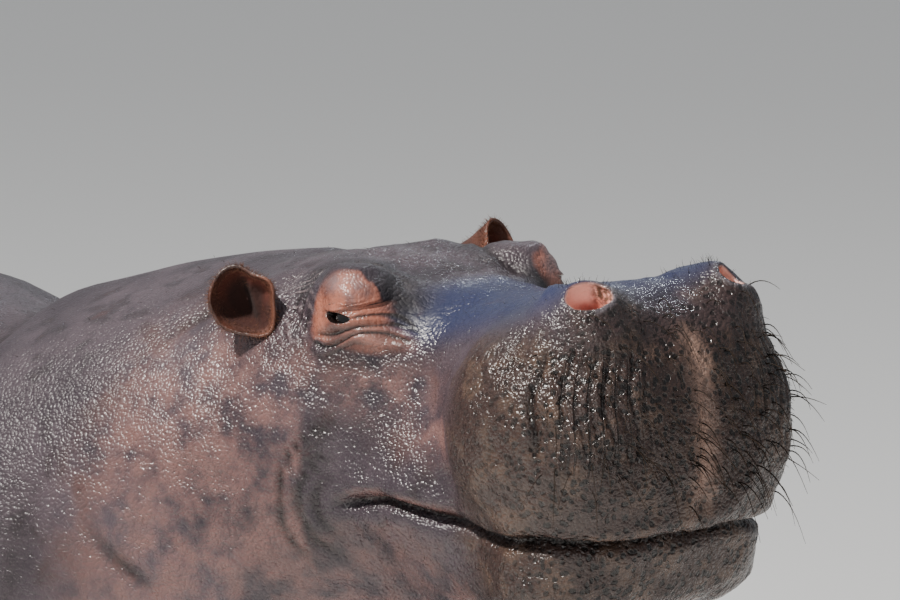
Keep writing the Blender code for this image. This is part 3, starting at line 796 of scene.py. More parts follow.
# the tail is rings carried along a path, flattened towards its end
tail = {
    "path": (
        # back, up, half depth, half width
        (1.340, 1.200, 0.062, 0.085),
        (1.425, 1.190, 0.056, 0.072),
        (1.492, 1.145, 0.047, 0.058),
        (1.535, 1.060, 0.038, 0.046),
        (1.550, 0.950, 0.031, 0.037),
        (1.549, 0.850, 0.026, 0.029),
        (1.546, 0.770, 0.029, 0.019),
        (1.545, 0.735, 0.022, 0.013),
    ),
    "rings": 60,
    "root": (0.110, 0.100),  # half sizes of the hole on the rump
    "end": ((0.18, 0.008), (0.45, 0.014), (0.75, 0.018)),  # how the last rings close in and reach on
}


def smoothPath(keys, count):
    # a smooth curve through the keys, read evenly by number: each stretch bends from slope to slope
    slopes = np.gradient(keys, axis=0)
    spots = np.linspace(0, len(keys) - 1, count)
    low = np.minimum(spots.astype(int), len(keys) - 2)
    t = (spots - low)[:, None]
    start, end, out, into = keys[low], keys[low + 1], slopes[low], slopes[low + 1]
    return (start * (1 + 2 * t) * (1 - t) ** 2 + out * t * (1 - t) ** 2
            + end * t * t * (3 - 2 * t) + into * t * t * (t - 1))


def tailPatch(points, faces):
    # the hole on the rump is round the tail's root; the rings leave it in a fillet and follow the path
    path = smoothPath(np.array(tail["path"]), tail["rings"])
    rootUp = path[0, 1]
    wide, tall = tail["root"]
    inside = np.hypot(points[:, 0] / wide, (points[:, 2] - rootUp + 0.01) / tall) < 1
    inside &= points[:, 1] > 1.10
    rump = points[inside, 1].mean()
    path = path[path[:, 0] > rump + 0.035]
    faces, loop = holeRim(faces, inside)
    rim = points[loop]
    turn = turnsRound(rim[:, 0], rim[:, 2] - rootUp)[1]
    ways = unit(np.gradient(path[:, :2], axis=0))

    def crossing(k):
        back, up, halfDepth, halfWidth = path[k]
        wrinkle = 1 + 0.018 * math.sin(k * 2.1) * (1 - k / tail["rings"])
        across, over = oval(turn, halfWidth * wrinkle, halfDepth * wrinkle).T
        return np.column_stack((across, back - ways[k, 1] * over, up + ways[k, 0] * over))

    low = crossing(0)
    low[:, 1] = rump
    low[:, 2] += 0.010
    rings = [filleted(rim, low, crossing(0), step) for step in np.arange(1, 8) / 8]
    rings += [crossing(k) for k in range(len(path))]
    end, way = np.array((0, *path[-1, :2])), np.array((0, *ways[-1]))
    rings += [rings[-1] + (end - rings[-1]) * share + way * drop for share, drop in tail["end"]]
    return grafted(points, faces, loop, rings, end + way * 0.019)


points, faces = pressedFlesh()
print("skin pressed:", len(points), "points")
points = relaxed(points, faces, skinBuild["bodyRelax"])
for number in range(skinBuild["refineRounds"]):
    points, faces = refined(points, faces, longestEdge)
onHead = rise(toHead(points)[:, 0], -0.36, -0.24)
onFeet = 1 - rise(points[:, 2], 0.11, 0.16)
points = relaxed(points, faces, skinBuild["headRelax"], np.maximum(onHead, onFeet))
print("head refined:", len(points), "points", len(faces), "faces")

onHeadFolds, onBodyFolds = headFolds(*sidedPlaces(points)), bodyFolds(points)
uneven = 0.0035 * lumpy(points, 0.30, 3) * (1 - onHead)
uneven += (0.0016 * lumpy(points, 0.075, 5) + 0.0009 * lumpy(points, 0.035, 6)) * onHead
push = onHeadFolds.push * onHead + onBodyFolds.push * (1 - onHead) + uneven
points = points + push[:, None] * normalsOf(points, faces)
# painted shade in the creases, fainter on the body
crease = onHeadFolds.dark * onHead + 0.45 * onBodyFolds.dark * (1 - onHead)
points = relaxed(toesPushed(points), faces, 1)
print("folds and toes pressed")

patches = {}
for name, sign in sideSigns.items():
    points, faces, patches["eye_" + name] = eyePatch(points, faces, sign)
    points, faces, patches["nostril_" + name] = nostrilPatch(points, faces, name, sign)
    points, faces, patches["ear_" + name] = earPatch(points, faces, name, sign)
points, faces, patches["tail"] = tailPatch(points, faces)
crease = np.append(crease, np.zeros(len(points) - len(crease)))
print("eyes, nostrils, ears and tail let in:", {name: rows.shape for name, rows in patches.items()})

# the seams of the patches are smoothed, the soles are flat, and points that no face uses are left out
seam = np.zeros(len(points))
for name, rows in patches.items():
    seam[rows[:skinBuild["seamRows"].get(name, 5)]] = 1
seam = np.maximum(seam, meanOfNeighbours(seam[:, None], edgesOf(faces, len(points))[0])[:, 0] > 0)
points = relaxed(points, faces, 3, seam * 0.7, keepSize=False)
points[:, 2] = np.where(points[:, 2] < skinBuild["sole"], 0.0, points[:, 2])
used = np.unique(faces)
newNumber = np.zeros(len(points), np.int64)
newNumber[used] = np.arange(len(used))
points, faces, crease = points[used], newNumber[faces], crease[used]
patches = {name: newNumber[rows] for name, rows in patches.items()}
normals = normalsOf(points, faces)
print("skin:", len(points), "points", len(faces), "faces")


def paint(picked):
    # a colour picked in 0-255 steps, as the light that it sends back
    share = np.array(picked) / 255
    return (*np.where(share > 0.04045, ((share + 0.055) / 1.055) ** 2.4, share / 12.92).tolist(), 1.0)


# sums on the wires of a look become nodes
class Wire:
    def __init__(self, look, socket):
        self.look, self.socket = look, socket

    def __add__(self, other):
        return self.look.sum("ADD", self, other)

    def __sub__(self, other):
        return self.look.sum("SUBTRACT", self, other)

    def __rsub__(self, other):
        return self.look.sum("SUBTRACT", other, self)

    def __mul__(self, other):
        return self.look.sum("MULTIPLY", self, other)

    def __truediv__(self, other):
        return self.look.sum("DIVIDE", self, other)

    def __pow__(self, other):
        return self.look.sum("POWER", self, other)

    __radd__ = __add__
    __rmul__ = __mul__


class Look:
    # a material: its colours by name, its one shader, and the nodes that feed it
    def __init__(self, name, colours, **fixed):
        self.paints = {key: paint(picked) for key, picked in colours.items()}
        self.material = bpy.data.materials.new(name)
        self.material.use_nodes = True
        self.tree = self.material.node_tree
        self.shader = self.tree.nodes["Principled BSDF"]
        for socket, value in fixed.items():
            self.shader.inputs[socket.replace("_", " ")].default_value = value

    def join(self, socket, value):
        # a value is a wire, the name of one of the look's colours, or a number or vector
        if isinstance(value, Wire):
            self.tree.links.new(value.socket, socket)
        else:
            socket.default_value = self.paints[value] if isinstance(value, str) else value

    def add(self, kind, settings, inputs, output=None):
        # a node of one kind: its settings first, then its sockets' values or links
        node = self.tree.nodes.new(kind)
        for name, value in settings.items():
            setattr(node, name, value)
        for name, value in inputs.items():
            self.join(node.inputs[name], value)
        live = [socket for socket in node.outputs if socket.enabled]
        return Wire(self, node.outputs[output] if output else live[0])

    def sum(self, operation, *values):
        return self.add("ShaderNodeMath", {"operation": operation}, dict(enumerate(values)))

    def mask(self, name):
        return self.add("ShaderNodeAttribute", {"attribute_name": name}, {}, "Fac")

    def spot(self):
        return self.add("ShaderNodeTexCoord", {}, {}, "Object")

    def vectors(self, operation, *values):
        return self.add("ShaderNodeVectorMath", {"operation": operation}, dict(enumerate(values)))

    def noise(self, spot, scale, detail=3.0, roughness=0.55, output="Fac"):
        values = {"Vector": spot, "Scale": scale, "Detail": detail, "Roughness": roughness}
        return self.add("ShaderNodeTexNoise", {}, values, output)

    def cells(self, spot, scale, feature="F1"):
        values = {"Vector": spot, "Scale": scale}
        return self.add("ShaderNodeTexVoronoi", {"feature": feature}, values, "Distance")

    def step(self, value, low, high):
        # 0 below low and 1 above high, and the other way round if low is the higher
        ends = {"From Min": min(low, high), "From Max": max(low, high),
                "To Min": float(low > high), "To Max": float(low <= high)}
        return self.add("ShaderNodeMapRange", {"interpolation_type": "SMOOTHSTEP"}, {"Value": value, **ends})

    def blend(self, one, other, share):
        return self.add("ShaderNodeMix", {"data_type": "RGBA"}, {0: share, 6: one, 7: other})

    def layered(self, colour, *layers):
        # lays each colour over those before it, by its share
        for over, share in layers:
            colour = self.blend(colour, over, share)
        return colour

    def finish(self, colour, roughness, height):
        # height is the bump in metres
        bump = self.add("ShaderNodeBump", {}, {"Height": height, "Distance": 1.0, "Strength": 1.0})
        self.join(self.shader.inputs["Base Color"], colour)
        self.join(self.shader.inputs["Roughness"], roughness)
        self.join(self.shader.inputs["Normal"], bump)
        return self.material


# where the skin's colours lie
def insideRows(kind, first, last):
    # a mask that rises from the first row of both patches of a kind to the last
    values = np.zeros(len(points))
    for side in sideSigns:
        rows = patches[kind + "_" + side]
        values[rows] = rise(np.arange(len(rows)), first, last)[:, None]
    return values


def skinMasks():
    # each mask is a share from 0 to 1 at every point, but for the two turns, which are angles
    place, side = sidedPlaces(points)
    ahead, out, up = place.T
    outward, upward = (normals @ headAxes.T)[:, 1] * side, normals[:, 2]
    onHead = rise(ahead, -0.40, -0.26)
    masks = {}

    # the brow, the painted sheen on its top, and the roll of folds under the eye
    around = np.hypot((ahead - 0.006) / 0.060, (up - 0.008) / 0.066)
    brow = (1 - rise(around, 0.60, 1.16)) * rise(out, 0.110, 0.150) * rise(outward, -0.05, 0.45)
    brow *= rise(up, -0.034, -0.014)
    # painted sheen: the top of the brow is paler where its wet top catches the light
    masks["browTop"] = brow * rise(up + 0.25 * (ahead + 0.01), 0.026, 0.056)
    leftFront = lump(place, (0.038, 0.150, 0.042), 0.026, (1, 1, 1.3)) * (side > 0)
    masks["brow"] = np.maximum(brow, leftFront * rise(normals @ headAxes[0], 0.1, 0.5))
    around = np.hypot((ahead - 0.040) / 0.072, (up + 0.018 + 0.10 * (ahead - 0.040)) / 0.021)
    masks["fold"] = (1 - rise(around, 0.55, 1.05)) * rise(out, 0.120, 0.145)

    # painted shade in the hollow ahead of the brow, where the skin is also darker, and in the furrow round it
    ring = np.linalg.norm((place - browMiddle) / np.array((0.088, 0.070, 0.070)), axis=1)
    furrowShade = 0.55 * bell(ring - 1, 0.22) * (1 - masks["brow"]) * rise(up, 0.0, 0.04)
    masks["shade"] = np.maximum(lump(place, (0.060, 0.120, 0.036), 0.040) * onHead, furrowShade)
    masks["crown"] = lump(place, (-0.004, 0.046, 0.052), 0.038)

    # the muzzle's brown with its pits and creases, the painted sky reflection that tints the snout's top
    # blue, and the pale philtrum
    muzzle = rise(ahead, 0.19, 0.29) * (1 - rise(up - 0.10 * (ahead - 0.35), -0.005, 0.060))
    masks["muzzle"] = np.maximum(muzzle, rise(ahead, 0.385, 0.44) * 0.8) * (up > -0.36)
    masks["pitted"] = masks["muzzle"] * (0.45 + 0.55 * rise(ahead, 0.32, 0.44))
    slope = rise(up + 0.019 - 0.31 * (ahead - 0.113), -0.022, 0.030)
    # painted sky reflection: blue on the upward-facing top of the snout
    masks["snout"] = between(ahead, 0.030, 0.085, 0.36, 0.45) * slope * rise(upward, -0.15, 0.25)
    masks["dip"] = bell(np.hypot(out / 1.5, ahead - 0.40), 0.040) * rise(up, 0.02, 0.05)
    masks["lipTurn"] = lipBearing(place) + 0.5 * np.sin(up * 55 + 0.7)
    onLip = between(up, -0.175, -0.115, -0.010, 0.030) * (ahead > 0.30)
    masks["lipLines"] = onLip * bell(lipBearing(place) - 41, 16)
    masks["philtrum"] = bell(out, 0.018) * rise(ahead, 0.40, 0.45) * between(up, -0.23, -0.14, 0.0, 0.05)

    # pink on the underside, on the cheek, behind the mouth's corner and under the eye
    jaw = 0.9 * (1 - rise(up, -0.12, 0.03)) * (ahead < -0.02) * onHead
    legs = 0.45 * (1 - rise(points[:, 2], 0.45, 0.80)) * (1 - onHead)
    cheek = lump(place, (-0.175, 0.215, -0.085), 0.085, (1.2, 1, 0.8))
    corner = lump(place, (0.185, 0.165, -0.120), 0.060, (1.4, 1, 0.6))
    under = lump(place, (0.060, 0.160, -0.080), 0.064, (1.6, 1, 0.6))
    pinks = (rise(-upward, 0.05, 0.75), jaw, legs, cheek, corner, under)
    masks["pink"] = np.clip(np.max(pinks, axis=0), 0, 1)
    masks["wet"] = rise(ahead, -0.60, -0.10)

    # wrinkles that ray out ahead of the ear
    fromEar = place - earMiddle["right"]
    masks["rayTurn"] = np.arctan2(fromEar[:, 2], fromEar[:, 0])
    rays = between(np.linalg.norm(fromEar, axis=1), 0.050, 0.062, 0.085, 0.125) * rise(out, 0.10, 0.14)
    masks["rays"] = rays * rise(np.cos(masks["rayTurn"] - 0.35), 0.25, 0.65)

    # the nostrils: pink inside and dark at the inner end, with painted shade as darker red below and deep
    # down, and a painted sheen on the inner side of the rim
    inside = insideRows("nostril", 13.5, 17)
    fromNostril = place - np.where((side > 0)[:, None], nostrilMiddle["left"], nostrilMiddle["right"])
    aside, lift = np.array(((0.656, -0.755, 0.0), (-0.13, -0.11, 0.985))) @ fromNostril.T
    masks["nostril"] = inside
    masks["nostrilDeep"] = insideRows("nostril", 24, 31)
    masks["nostrilRed"] = inside * bell(aside + 0.003, 0.020) * (1 - rise(lift, -0.010, 0.003))
    masks["nostrilDark"] = inside * rise(aside, -0.002, 0.012) * rise(lift, -0.012, 0.000)
    # painted sheen: the wet rim paler on its inner side
    masks["nostrilRim"] = np.minimum(insideRows("nostril", 8, 11), 1 - inside)
    masks["nostrilRim"] *= rise((place - nostrilMiddle["right"]) @ np.array((0.75, -0.60, 0.2)), -0.01, 0.02)

    # the ears: their backs, cups and front edges, and painted shade deep in the cups and low in them
    masks["ear"] = insideRows("ear", 4, 10)
    masks["earCup"] = insideRows("ear", 23, 27)
    lowCupShade = masks["earCup"] * rise(0.004 - fromEar[:, 2], -0.012, 0.020)
    masks["earDeep"] = np.maximum(insideRows("ear", 25, 33), lowCupShade * 0.85)
    masks["earFront"] = masks["ear"] * rise(fromEar[:, 0] - 0.006, 0.0, 0.018)

    # painted shade on the slits' edges and in the creases, with those between the folds under the eyes
    # painted shade: the slit's edge is darkened where the heavy lid shades it
    masks["lidEdge"] = insideRows("eye", 26, 28.5)
    masks["crease"] = crease * (1 - 0.85 * masks["philtrum"])
    for name, sign in sideSigns.items():
        rows = patches["eye_" + name][:lids["rings"]].ravel()
        across, lift = (sided(toHead(points[rows]), sign) - eyeSeat)[:, (0, 2)].T
        turn = foldTurn(across, lift)
        folds = bell(turn - np.round(turn), 0.15) * (turn > 0.5) * (1 - 0.5 * (turn > 2.5))
        slot = bell(lift - cornerLine(across), 0.0022) * rise(across, 0.020, 0.028)
        # painted shade in the creases between the folds and in the slot at the slit's front corner
        dark = np.maximum(folds * rise(across, -0.05, -0.02), slot)
        dark *= 1 - rise(patchShare(across, lift), 0.75, 1.0)
        masks["crease"][rows] = np.maximum(masks["crease"][rows], dark)
    return masks


skinColours = {
    "slate": (48, 41, 47), "ash": (72, 62, 68), "blots": (37, 32, 36), "pink": (126, 93, 88),
    "muzzle": (52, 38, 34), "muzzlePale": (88, 70, 58), "snout": (34, 41, 72), "dip": (50, 48, 62),
    "philtrum": (176, 142, 126), "shade": (20, 17, 20),
    "brow": (148, 91, 74), "browBlots": (86, 52, 45), "browTop": (128, 110, 112),
    "fold": (134, 92, 82), "foldBlots": (84, 58, 54), "crease": (16, 10, 10), "cracks": (26, 21, 24),
    "rays": (112, 98, 100), "pits": (12, 9, 8), "lidEdge": (18, 11, 10),
    "ear": (80, 47, 36), "earBlots": (52, 32, 27), "earFront": (112, 68, 50),
    "earInside": (78, 34, 23), "earDeep": (38, 15, 10),
    "nostrilRim": (96, 92, 98), "flesh": (248, 188, 172), "fleshBlots": (204, 136, 120),
    "fleshDark": (98, 74, 60), "fleshRed": (148, 66, 58), "fleshDeep": (84, 26, 24),
}
skinBumps = {"pebble": -0.00155, "crack": -0.00030, "fine": 0.0005, "middling": 0.0016, "rays": 0.0007,
             "pits": -0.0013, "lines": -0.0012}  # how far each stands out, in metres


def skinLook():
    look = Look("wet skin", skinColours, Specular_IOR_Level=0.44)
    on = {name: look.mask(name) for name in skinValues}
    step, blend = look.step, look.blend
    spot = look.spot()
    broad = look.noise(spot, 5.0, 4.0)
    middling = look.noise(spot, 22.0, 4.0)
    fine = look.noise(spot, 150.0, 2.0)
    # cells of an uneven shape: cracks between large ones, rounded pebbles, and pits of two sizes
    shift = look.vectors("MULTIPLY", look.noise(spot, 40.0, 2.0, 0.5, "Color"), (0.012,) * 3)
    bent = look.vectors("ADD", spot, shift)
    edges = look.cells(look.vectors("MULTIPLY", bent, (1.0, 1.0, 1.7)), 92.0, "DISTANCE_TO_EDGE")
    cracks = step(edges, 0.14, 0.0) * step(look.noise(spot, 9.0), 0.42, 0.62) * (1 - on["brow"])
    pebble = look.cells(bent, 215.0) ** 2
    smallPits = step(look.cells(bent, 92.0), 0.44, 0.24)
    largePits = step(look.cells(bent, 66.0), 0.36, 0.20)
    pits = look.sum("MAXIMUM", smallPits, largePits) * (on["pitted"] * (1 - on["philtrum"] * 0.6))
    # fine upright lines on the lip, one every 4.3 degrees, and the wrinkles ahead of the ear
    share = look.sum("FRACT", (on["lipTurn"] + look.noise(spot, 60.0) * 0.9) / 4.3)
    lines = step(look.sum("ABSOLUTE", share - 0.5), 0.085, 0.030) * on["lipLines"]
    rays = look.sum("SINE", on["rayTurn"] * 38 + look.noise(spot, 26.0) * 16)
    rayShare = on["rays"] * step(look.noise(spot, 70.0), 0.38, 0.58)

    brow = look.layered(
        "brow",
        ("browBlots", step(middling, 0.42, 0.64)),
        # painted sheen on the brow's top
        ("browTop", on["browTop"] * step(broad + middling * 0.4, 0.50, 0.72) * 0.8))
    fold = blend("fold", "foldBlots", step(middling, 0.3, 0.7))
    ear = blend("ear", "earBlots", step(middling, 0.4, 0.65))
    flesh = look.layered(
        "flesh",
        ("fleshBlots", step(middling, 0.50, 0.66)),
        ("fleshDark", on["nostrilDark"] * step(fine, 0.30, 0.60)),
        # painted shade: darker red low in the pit and deeper down
        ("fleshRed", on["nostrilRed"] * 0.85),
        ("fleshDeep", on["nostrilDeep"]))
    colour = look.layered(
        "slate",
        ("ash", step(broad, 0.35, 0.65)),
        ("blots", step(middling, 0.50, 0.66) * 0.7),
        ("pink", on["pink"] * step(middling, 0.30, 0.66) * 0.75),
        ("muzzle", on["muzzle"] * step(broad, 0.05, 0.40)),
        ("muzzlePale", on["muzzle"] * step(middling, 0.46, 0.66) * 0.6),
        # painted sky reflection: the snout's top tinted blue
        ("snout", on["snout"] * step(broad, 0.0, 0.25) * 0.9),
        ("dip", on["dip"] * 0.7),
        ("philtrum", on["philtrum"] * step(broad + middling * 0.7, 0.45, 0.95) * 0.75),
        # painted shade in the hollow ahead of the brow and in its furrow
        ("shade", on["shade"]),
        (brow, step(on["brow"] + (middling - 0.5) * 1.3, 0.12, 0.80)),
        (fold, on["fold"]),
        # painted shade in the creases
        ("crease", on["crease"] * 0.92),
        # painted shade: the cracks between the large cells are darkened
        ("cracks", cracks * 0.25),
        ("rays", step(rays, 0.20, 0.90) * rayShare * 0.7),
        (ear, on["ear"]),
        ("earFront", on["earFront"] * 0.55),
        # painted shade deep in the ear's cup and low in it
        (blend("earInside", "earDeep", on["earDeep"]), on["earCup"]),
        # painted sheen on the inner side of the nostril's rim
        ("nostrilRim", on["nostrilRim"] * 0.6),
        (flesh, on["nostril"]),
        # the pits' dark dots are partly their own colour and partly painted shade; the lip's lines are
        # painted shade in their grooves
        ("pits", look.sum("MAXIMUM", pits * 0.92, lines * 0.75)),
        # painted shade on the slit's edge
        ("lidEdge", on["lidEdge"]))

    # wetter towards the muzzle and on the crown; duller in the ears, the nostrils and the shade
    duller = on["ear"] * 0.12 + on["earCup"] * 0.60 + on["nostril"] * 0.05 + on["browTop"] * 0.06
    roughness = step(fine, 0.3, 0.7) * 0.10 + (0.40 - on["wet"] * 0.16) + duller
    roughness = roughness - on["crown"] * 0.14 + on["shade"] * 0.45
    calm = (1 + on["crown"] * 0.9) * (1 - on["ear"] * 0.6) * (1 - on["nostril"])
    calm = calm * (1 - on["snout"] * 0.65) * (1 - on["brow"] * 0.45) * (1 - on["fold"] * 0.5)
    height = (pebble * skinBumps["pebble"] * calm + cracks * skinBumps["crack"] + fine * skinBumps["fine"]
              + middling * skinBumps["middling"] + rays * rayShare * skinBumps["rays"]
              + pits * skinBumps["pits"] + lines * skinBumps["lines"])
    return look.finish(colour, roughness, height)


skin = newPiece("skin", points, faces)
skinValues = skinMasks()
storeValues(skin, **skinValues)
finishPiece(skin, skinLook(), "skin", *fleshNodes)
print("skin coloured")


# closed surfaces from rings of points
def ringPattern(count, size):
    # faces from a first point through rings of points to a last one
    rows = 1 + np.arange(count * size).reshape(count, size)
    after = np.roll(rows, -1, axis=1)
    return joined((rows[:-1], after[:-1], after[1:]), (rows[:-1], after[1:], rows[1:]),
                  (np.zeros(size, int), after[0], rows[0]),
                  (rows[-1], after[-1], np.full(size, 1 + count * size)))


def ballWays(rings, sides):
    # directions all round: a first pole, rings of even tilt and turn, and a last pole, the poles along up
    tilt = (np.arange(1, rings) / rings * math.pi)[:, None]
    turn = (np.arange(sides) / sides * 2 * math.pi)[None, :]
    flat = oval(turn, np.sin(tilt), np.sin(tilt))
    ways = np.concatenate((flat, np.broadcast_to(np.cos(tilt), flat.shape[:2])[..., None]), axis=-1)
    return np.concatenate((((0, 0, 1.0),), ways.reshape(-1, 3), ((0, 0, -1.0),)))


def closedPiece(name, shape, spots):
    # a piece whose points go round as ballWays does, its faces turned outwards
    made = ringPattern(shape["rings"] - 1, shape["sides"])
    one, two, three = spots[made].transpose(1, 0, 2) - spots[0]
    return newPiece(name, spots, made if (one * np.cross(two, three)).sum() > 0 else made[:, ::-1])


# each eyeball is a sphere with a low clear bulge over the iris
eyeball = {
    "gaze": (0.25, 1.0, 0.10),
    "gap": 0.0004,  # between the ball and its socket
    "bulge": 0.0007,
    "bulgeReach": 0.5,
    "pupil": (0.26, 0.15),  # half sizes, as shares of the ball's radius
    "rings": 36,
    "sides": 48,
    # the white is painted dark brown, as shade from the heavy lids
    "colours": {"white": (40, 26, 22), "whitePale": (66, 46, 38), "iris": (34, 18, 10),
                "irisDark": (16, 9, 6), "ring": (14, 9, 8), "pupil": (3, 3, 4)},
}


def eyeballPiece(side, sign, look):
    # radius = the ball's, and the bulge times a bell of the angle from the gaze
    gazeAxes = framed(eyeball["gaze"], (1.0, -0.25, 0.0))
    ways = ballWays(eyeball["rings"], eyeball["sides"])
    angle = np.arccos(np.clip(ways[:, 2:], -1, 1))
    radius = eyeRadius - eyeball["gap"] + eyeball["bulge"] * bell(angle, eyeball["bulgeReach"])
    local = radius * ways
    piece = closedPiece("eyeball_" + side, eyeball, fromHead(sided(local @ gazeAxes + eyeSeat, sign)))
    facing = local[:, 2] > 0
    across, up = local[:, :2].T / eyeRadius
    wide, tall = eyeball["pupil"]
    storeValues(piece, iris=np.where(facing, np.hypot(across, up), 1),
                pupil=np.where(facing, np.hypot(across / wide, up / tall), 9))
    finishPiece(piece, look, "eye", "eye_" + side)


def makeEyeLook():
    look = Look("dark eye", eyeball["colours"], Specular_IOR_Level=0.6, Coat_Weight=0.4, Coat_Roughness=0.03)
    iris, pupil, spot = look.mask("iris"), look.mask("pupil"), look.spot()
    threads = look.noise(spot, 900.0)
    # painted shade: the white darkened as under the heavy lids
    white = look.blend("white", "whitePale", look.noise(spot, 260.0))
    colour = look.layered(
        "iris",
        ("irisDark", threads),
        (white, look.step(iris, 0.60, 0.68)),
        ("ring", look.sum("COMPARE", iris, 0.63, 0.035)),
        ("pupil", look.step(pupil, 1.10, 0.92)))
    return look.finish(colour, 0.12, threads * 0.00002)


eyeLook = makeEyeLook()
for side, sign in sideSigns.items():
    eyeballPiece(side, sign, eyeLook)
print("eyeballs made")


# each toenail is a thick rounded plate, ridged from the bed to the worn edge
nail = {
    "half": (0.0185, 0.0300, 0.0320),
    "blocky": (0.90, 0.82, 0.86),  # powers below 1 make it squarish
    "ridge": 0.00025,
    "ridgeGap": 0.0042,
    "growth": 0.00016,
    "growthGap": 0.0075,
    "wrap": 5.0,  # how much it bends round the toe
    "lean": 0.10,
    "worn": 0.0055,  # the height of its worn edge
    "rings": 30,
    "sides": 44,
    "colours": {"dark": (66, 56, 52), "pale": (100, 90, 82), "bed": (54, 42, 38), "worn": (124, 114, 104)},
}


def nailPiece(foot, toe, look):
    # a squarish ellipsoid: each side is a cosine or a sine to a power below 1; ridges run up it and
    # growth lines across it
    start, axes = toeFrame(foot, toe)
    ways = ballWays(nail["rings"], nail["sides"])[:, (2, 0, 1)]
    out, across, up = (np.sign(ways) * np.abs(ways) ** np.array(nail["blocky"]) * np.array(nail["half"])).T
    ridges = nail["ridge"] * np.sin(across * 2 * math.pi / nail["ridgeGap"])
    growth = nail["growth"] * np.sin((up - 12 * across ** 2) * 2 * math.pi / nail["growthGap"])
    out = out + rise(ways[:, 0], 0.05, 0.5) * (ridges + growth)
    out = out - nail["wrap"] * across ** 2 - nail["lean"] * np.clip(up, 0, None) + toeShape["nail"][0]
    worn = nail["worn"] + 0.0008 * np.sin(across * 210 + len(toe))
    up = np.maximum(up + toeShape["nail"][1], worn)
    node = "nail_" + foot + "_" + toe
    piece = closedPiece("toe" + node, nail, start + np.stack((out, across, up), axis=1) @ axes)
    storeValues(piece, across=across, length=up)
    finishPiece(piece, look, "nail", node)


def makeNailLook():
    look = Look("horn", nail["colours"], Specular_IOR_Level=0.5)
    across, length, spot = look.mask("across"), look.mask("length"), look.spot()
    streaks = look.add("ShaderNodeTexNoise", {"noise_dimensions": "1D"},
                       {"W": across * 420 + look.noise(spot, 40.0) * 1.5, "Scale": 1.0, "Detail": 3.0}, "Fac")
    colour = look.layered(
        "dark",
        ("pale", look.step(streaks, 0.25, 0.80) * 0.8),
        ("bed", look.step(length, 0.040, 0.066)),
        ("worn", look.step(length, 0.018, 0.006) * 0.7))
    height = streaks * 0.0005 + look.noise(spot, 300.0) * 0.0002
    return look.finish(colour, 0.38 + look.noise(spot, 90.0) * 0.25, height)


nailLook = makeNailLook()
for foot in feet:
    for toe in toeShape["headings"]:
        nailPiece(foot, toe, nailLook)
print("toenails made")


# bristles are tapered tubes rooted in the skin; each leans by shares of the skin's direction, of the way
# ahead and of down, with a random spread
usualBristle = {"rings": 4, "sides": 3, "droop": 0.10, "outward": 1.0, "forward": 0.0, "down": 0.0,
                "spread": 0.25}
bristles = {
    "whiskers": {"seed": 11, "count": 150, "length": (0.030, 0.054), "radius": 0.00095, "droop": 0.95,
                 "rings": 8, "sides": 4, "forward": 0.35, "down": -0.05, "spread": 0.16},
    "lip_stubble": {"seed": 12, "count": 420, "length": (0.003, 0.008), "radius": 0.00050, "droop": 0.15,
                    "rings": 3, "forward": 0.20, "down": 0.50, "spread": 0.15},
    "nostril_bristles": {"seed": 13, "count": 90, "length": (0.006, 0.013), "radius": 0.00035},
    "ear_fringe": {"seed": 14, "count": 1500, "length": (0.003, 0.008), "radius": 0.00021, "droop": 0.12},
    "tail_bristles": {"seed": 16, "count": 240, "length": (0.040, 0.075), "radius": 0.00070, "rings": 6,
                      "outward": (0.35, 0.175, 0.35), "down": 1.0, "spread": 0.12},
    "back_bristles": {"seed": 17, "count": 260, "length": (0.004, 0.009), "radius": 0.00035, "droop": 0.20,
                      "rings": 3, "outward": 0.6, "forward": -0.8, "spread": 0.20},
}
bristleColours = {"root": (26, 20, 17), "tip": (46, 34, 24)}
earHairColours = {"root": (66, 40, 29), "tip": (112, 76, 56)}
bristlePatch = 0.003  # a bristle's size in its UV map
worldDown = np.array((0, 0, -1.0))


def rootsOn(density, count, random):
    # roots spread over the skin's faces by area times density, with the skin's direction at each
    corners = points[faces]
    area = np.linalg.norm(np.cross(corners[:, 1] - corners[:, 0], corners[:, 2] - corners[:, 0]), axis=1)
    weight = area * density[faces].mean(axis=1)
    chosen = random.choice(len(faces), count, p=weight / weight.sum())
    shares = random.dirichlet((1, 1, 1), count)[..., None]
    return (points[faces[chosen]] * shares).sum(axis=1), unit((normals[faces[chosen]] * shares).sum(axis=1))


def bristlePath(shape, roots, ways, random):
    # place along a bristle = root + length x (way x t + (down x droop + curl) x t squared)
    low, high = shape["length"]
    lengths = (low + (high - low) * random.random(len(roots)) ** 1.4)[:, None, None]
    share = np.linspace(-0.06, 1, shape["rings"])[None, :, None]
    droop = shape["droop"] * (0.5 + random.random((len(roots), 1, 1)))
    curl = 0.18 * random.normal(size=(len(roots), 1, 3))
    return roots[:, None] + lengths * (ways[:, None] * share + (worldDown * droop + curl) * share ** 2), share


def layFlat(piece, roots, rings, sides):
    # in the UV map each bristle is a small patch, placed by its root's turn round the head's axis and how
    # far ahead it is
    place = toHead(roots)
    middle = np.stack((0.5 + np.arctan2(place[:, 1], place[:, 2] + 0.12) / (2 * math.pi) * 0.98,
                       0.03 + 0.94 * (place[:, 0] + 2.75) / 3.30), axis=1)
    grid = np.stack(np.meshgrid(np.linspace(0, 1, sides), np.linspace(0, 1, rings)), -1).ravel()
    small = np.concatenate(((0.0, 0.0), grid, (0.5, 1.0))).reshape(-1, 2)
    flat = (middle[:, None] + bristlePatch * (small - 0.5)[None]).reshape(-1, 2)
    corners = np.empty(len(piece.data.loops), np.int32)
    piece.data.loops.foreach_get("vertex_index", corners)
    piece.data.uv_layers.new(name="OFBake").data.foreach_set("uv", flat[corners].ravel())


